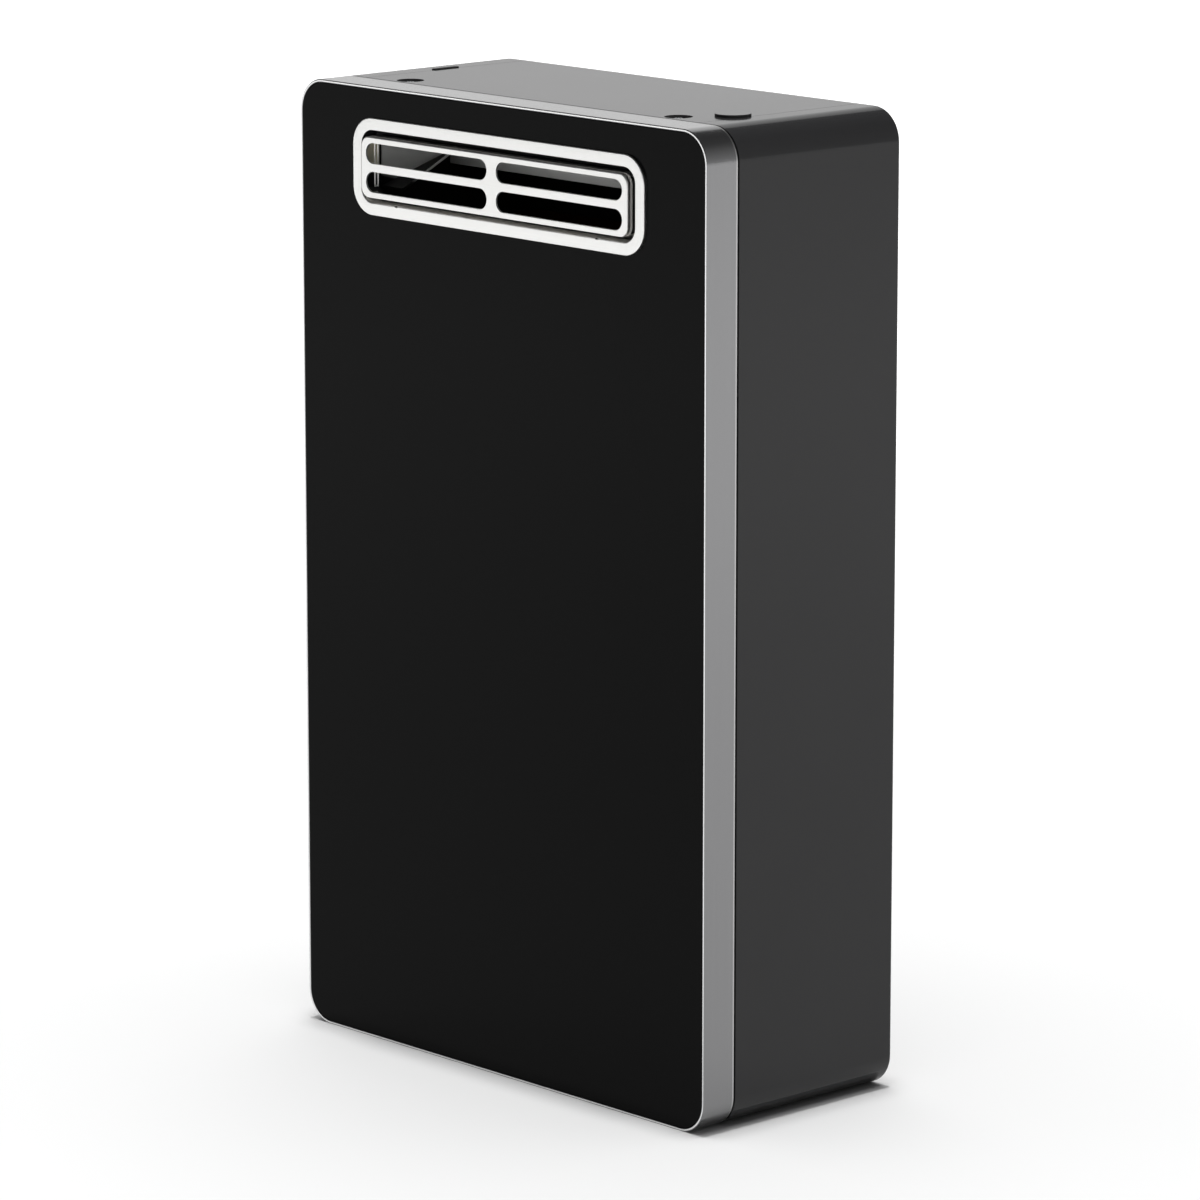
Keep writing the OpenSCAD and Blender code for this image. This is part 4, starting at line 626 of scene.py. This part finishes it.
# Die-cast aluminium: matt pale grey with flow marks about 5 mm across.
cast_metal = surface("die-cast aluminium", "#9fa1a3", "#b3b5b7", (0.005, 0.005, 0.005), (0.42, 0.55), 1)
wear(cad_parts["gas_manifold"], cast_metal)

# Brass: yellow and turned bright, with turning lines drawn at 0.6 mm.
brass = surface("turned brass", "#b8924a", "#cfa95c", (0.02, 0.02, 0.0006), (0.22, 0.32), 1)
wear(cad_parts["gas_nozzles"], brass)

# Ceramic: warm white with a thin glaze.
ceramic = surface("glazed ceramic", "#e4ded0", "#efeadf", (0.01, 0.01, 0.01), (0.2, 0.3))
for node in ("spark_electrodes", "flame_rod"):
    wear(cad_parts[node], ceramic)

# Sight glass: a clear disc with a slight green cast and a haze in patches about 4 mm across.
haze_size = 0.004
sight_glass = blank_material("clear sight glass")
place = add(sight_glass, "ShaderNodeTexCoord").outputs["Object"]
haze = add(sight_glass, "ShaderNodeTexNoise", {"Vector": place, "Scale": 1 / haze_size, "Detail": 2})
gloss = add(sight_glass, "ShaderNodeMapRange",
            {"Value": haze.outputs["Fac"], "To Min": 0.03, "To Max": 0.1})
pane = add(sight_glass, "ShaderNodeBsdfPrincipled",
           {"Base Color": linear("#dfe9e4"), "Roughness": gloss.outputs["Result"], "Transmission Weight": 1})
add(sight_glass, "ShaderNodeOutputMaterial", {"Surface": pane.outputs["BSDF"]})
wear(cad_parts["sight_window"], sight_glass)


# Fan: a folded steel scroll that blows up into the burner tray, with a wheel of curved blades inside it.
# The wheel sits on the ground steel shaft of a closed motor, which is held by ears on the scroll's front.

for node in ("fan_housing", "fan_wheel"):
    wear(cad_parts[node], zinc)
wear(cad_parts["fan_shaft"], satin_steel)

# Black nylon: moulded, dull, with a fine spark-eroded grain drawn at 1 mm.
nylon = surface("black nylon", "#131314", "#1c1c1d", (0.001, 0.001, 0.001), (0.42, 0.55))
wear(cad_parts["fan_motor"], nylon)


# Gas valve: a cast body with two solenoid coils, their iron plungers and coiled steel springs,
# and a brass pipe up to the gas rail. Each spring stands on its coil and gets a mesh of its own; in use it
# shortens as the plunger draws in.

wear(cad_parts["gas_valve_body"], cast_metal)
wear(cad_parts["gas_feed_pipe"], brass)
for valve in ("shutoff", "modulating"):
    wear(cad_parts[valve + "_coil"], nylon)
    wear(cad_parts[valve + "_plunger"], satin_steel)
    low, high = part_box(valve + "_spring")
    spring = smooth_copy(valve + "_spring", valve + "_return_spring")
    wear(spring, satin_steel)
    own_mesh(spring)


# Water side: a moulded flow sensor with a white turbine, two copper pipes to the heat exchanger,
# a clip-on thermistor and an overheat switch.

for node in ("cold_pipe", "hot_pipe"):
    wear(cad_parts[node], copper)
for node in ("flow_sensor", "outlet_thermistor", "overheat_thermostat"):
    wear(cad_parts[node], nylon)

# White acetal: milky and dull.
acetal = surface("white acetal", "#dcdbd5", "#e8e7e2", (0.006, 0.006, 0.006), (0.35, 0.45))
for node in ("flow_turbine", "inlet_filter"):
    wear(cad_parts[node], acetal)


# Electrics: a moulded tray, open at the front, that holds the control board on four posts,
# and a potted ignition transformer with two terminals behind the gas valve.

wear(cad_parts["control_box"], acetal)
wear(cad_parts["ignition_transformer"], nylon)

# Solder mask: green lacquer over copper tracks, drawn as bands 3 mm apart.
solder_mask = surface("green solder mask", "#0e3b22", "#1a5a35", (0.003, 0.02, 0.012), (0.25, 0.35))
wear(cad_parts["control_board"], solder_mask)


# Base: a punched zinc grille in the recess for the fan's air, three brass half-inch connections
# with cut threads, a drain knob on the cold one, and a gland for the supply cord.

wear(smooth_copy("intake_grille", "air_grille"), zinc)
for node, name in (("drain_plug", "drain_knob"), ("cable_gland", "cord_gland")):
    wear(smooth_copy(node, name), nylon)
thread_r, thread_h = 0.01048, 0.00116
pitch, turns, turn_steps = 0.001814, 10, 40
groove_clear, groove_flat = 0.0003, 0.9
seat_r = 0.016
# The height of a three-sided circle of radius 1.
triangle_h = 1.5


def groove(x, y, low):
    """A V-shaped strip that winds up a pipe thread about an upright axis; it cuts the thread's groove."""
    across = (thread_h + groove_clear) / triangle_h
    bpy.ops.object.select_all(action="DESELECT")
    bpy.ops.mesh.primitive_circle_add(vertices=3, radius=1, fill_type="NOTHING", rotation=(0, 0, radians(90)))
    strip = bpy.context.object
    bpy.ops.object.transform_apply(location=False, rotation=True, scale=False)
    strip.rotation_euler = (radians(90), 0, 0)
    strip.scale = (across, across * groove_flat, 1)
    strip.location = (thread_r - thread_h + across, 0, low - pitch)
    bpy.ops.object.transform_apply(location=True, rotation=True, scale=True)
    wind = strip.modifiers.new("wind", "SCREW")
    wind.axis = "Z"
    wind.steps = turn_steps
    wind.screw_offset = pitch
    wind.iterations = turns
    bpy.ops.object.modifier_apply(modifier=wind.name)
    strip.location = (x, y, 0)
    bpy.ops.object.transform_apply(location=True, rotation=False, scale=False)
    bpy.ops.object.mode_set(mode="EDIT")
    bpy.ops.mesh.select_all(action="SELECT")
    bpy.ops.mesh.remove_doubles(threshold=weld)
    bpy.ops.mesh.fill_holes(sides=3)
    bpy.ops.mesh.normals_make_consistent(inside=False)
    bpy.ops.object.mode_set(mode="OBJECT")
    return strip


for node, name in (("gas_inlet", "gas_connection"), ("hot_outlet", "hot_connection"),
                   ("cold_inlet", "cold_connection")):
    low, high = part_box(node)
    fitting = smooth_copy(node, name)
    combine(fitting, "DIFFERENCE", [groove(high.x - seat_r, (low.y + high.y) / 2, low.z)])
    smooth(fitting)
    wear(fitting, brass)


# Studio: a wide white floor, a hard top light and a softbox overhead, a tall softbox behind on the left,
# a white cloth on the right, and the camera. The two top lights are kept out of reflections, as flags would.

floor_side = 60
bpy.ops.object.select_all(action="DESELECT")
bpy.ops.mesh.primitive_plane_add(size=floor_side, location=(0, 0, cad_box[0][2]))
floor = bpy.context.object
floor.name = "studio_floor"

# White floor: matt paint that takes the shadow. Away from the heater it shows a little glow,
# which lights nothing, so that the far floor is white.
near_floor, far_floor, far_glow = 0.4, 3, 0.5
white_floor = blank_material("white studio floor")
path = add(white_floor, "ShaderNodeLightPath").outputs
seen = add(white_floor, "ShaderNodeMath", {0: path["Is Camera Ray"], 1: path["Is Glossy Ray"]},
           operation="MAXIMUM")
seen = add(white_floor, "ShaderNodeMath", {0: seen.outputs[0], 1: path["Is Transmission Ray"]},
           operation="MAXIMUM")
place = add(white_floor, "ShaderNodeTexCoord").outputs["Object"]
away = add(white_floor, "ShaderNodeVectorMath", {0: place}, operation="LENGTH")
lift = add(white_floor, "ShaderNodeMapRange",
           {"Value": away.outputs["Value"], "From Min": near_floor, "From Max": far_floor,
            "To Min": 0, "To Max": far_glow}, interpolation_type="SMOOTHSTEP")
lift = add(white_floor, "ShaderNodeMath", {0: seen.outputs[0], 1: lift.outputs["Result"]},
           operation="MULTIPLY")
paper = add(white_floor, "ShaderNodeBsdfDiffuse", {"Color": linear("#f0f0f0")})
glow = add(white_floor, "ShaderNodeEmission", {"Strength": lift.outputs[0]})
both = add(white_floor, "ShaderNodeAddShader", {0: paper.outputs["BSDF"], 1: glow.outputs["Emission"]})
add(white_floor, "ShaderNodeOutputMaterial", {"Surface": both.outputs["Shader"]})
wear(floor, white_floor)


def turn_toward(place, aim):
    """The turn that makes a lamp or a camera look from one point to another."""
    return (Vector(aim) - Vector(place)).to_track_quat("-Z", "Y").to_euler()


def hang(name, lamp, place, aim, power, in_reflections):
    """Hangs a lamp that looks at a point."""
    lamp.energy = power
    holder = bpy.data.objects.new(name, lamp)
    holder.location = place
    holder.rotation_euler = turn_toward(place, aim)
    holder.visible_camera = False
    holder.visible_glossy = in_reflections
    bpy.context.scene.collection.objects.link(holder)


def softbox(name, wide, high):
    """A rectangular area lamp."""
    lamp = bpy.data.lights.new(name, "AREA")
    lamp.shape = "RECTANGLE"
    lamp.size = wide
    lamp.size_y = high
    return lamp


top_light = bpy.data.lights.new("top_light", "SUN")
top_light.angle = radians(4)
overhead = softbox("overhead_softbox", wide=4, high=4)
behind = softbox("back_softbox", wide=4.5, high=3.2)
# A lamp that looks down is aimed a touch aside, so that its turn is defined.
aside = 0.0001
hang("top_light", top_light, place=(0, 0, 5), aim=(0, aside, 0), power=1.85, in_reflections=False)
hang("overhead_softbox", overhead, place=(-0.2, 0, 3.4), aim=(-0.2, aside, 0), power=80, in_reflections=False)
hang("back_softbox", behind, place=(-3.6, 3.3, 2.4), aim=(0, 0, 0.5), power=30, in_reflections=True)

# Cloth: in reflections a white cloth hangs on the right and darkens upward.
# Every surface also gets a low even light.
cloth_low, cloth_high, cloth_top, cloth_edge = 0.6, 0.05, 0.66, 0.5
even_light = 0.12
world = bpy.data.worlds.new("studio")
bpy.context.scene.world = world
world.use_nodes = True
world.node_tree.nodes.clear()
place = add(world, "ShaderNodeTexCoord").outputs["Generated"]
toward = add(world, "ShaderNodeSeparateXYZ", {"Vector": place})
upward = add(world, "ShaderNodeMapRange",
             {"Value": toward.outputs["Z"], "From Min": 0, "From Max": cloth_top,
              "To Min": cloth_low, "To Max": cloth_high})
rightward = add(world, "ShaderNodeMapRange",
                {"Value": toward.outputs["X"], "From Min": 0, "From Max": cloth_edge})
cloth = add(world, "ShaderNodeMath", {0: upward.outputs["Result"], 1: rightward.outputs["Result"]},
            operation="MULTIPLY")
path = add(world, "ShaderNodeLightPath").outputs
mirrored = add(world, "ShaderNodeMath", {0: path["Is Glossy Ray"], 1: path["Is Transmission Ray"]},
               operation="MAXIMUM")
level = add(world, "ShaderNodeMath", {0: mirrored.outputs[0], 1: cloth.outputs[0], 2: even_light},
            operation="MULTIPLY_ADD")
glow = add(world, "ShaderNodeBackground", {"Strength": level.outputs[0]})
add(world, "ShaderNodeOutputWorld", {"Surface": glow.outputs["Background"]})

# Camera: a long lens, set so that the casing's straight edges fall where the photo has them.
camera_place = (2.6650, -2.46705, 1.0407)
camera_aim = (0.0050, 0.00215, 0.2831)
lens = bpy.data.cameras.new("photo_camera")
lens.sensor_width = 36
lens.lens = 184.63
camera = bpy.data.objects.new("photo_camera", lens)
camera.location = camera_place
camera.rotation_euler = turn_toward(camera_place, camera_aim)
bpy.context.scene.collection.objects.link(camera)
bpy.context.scene.camera = camera
bpy.context.scene.view_settings.view_transform = "Standard"
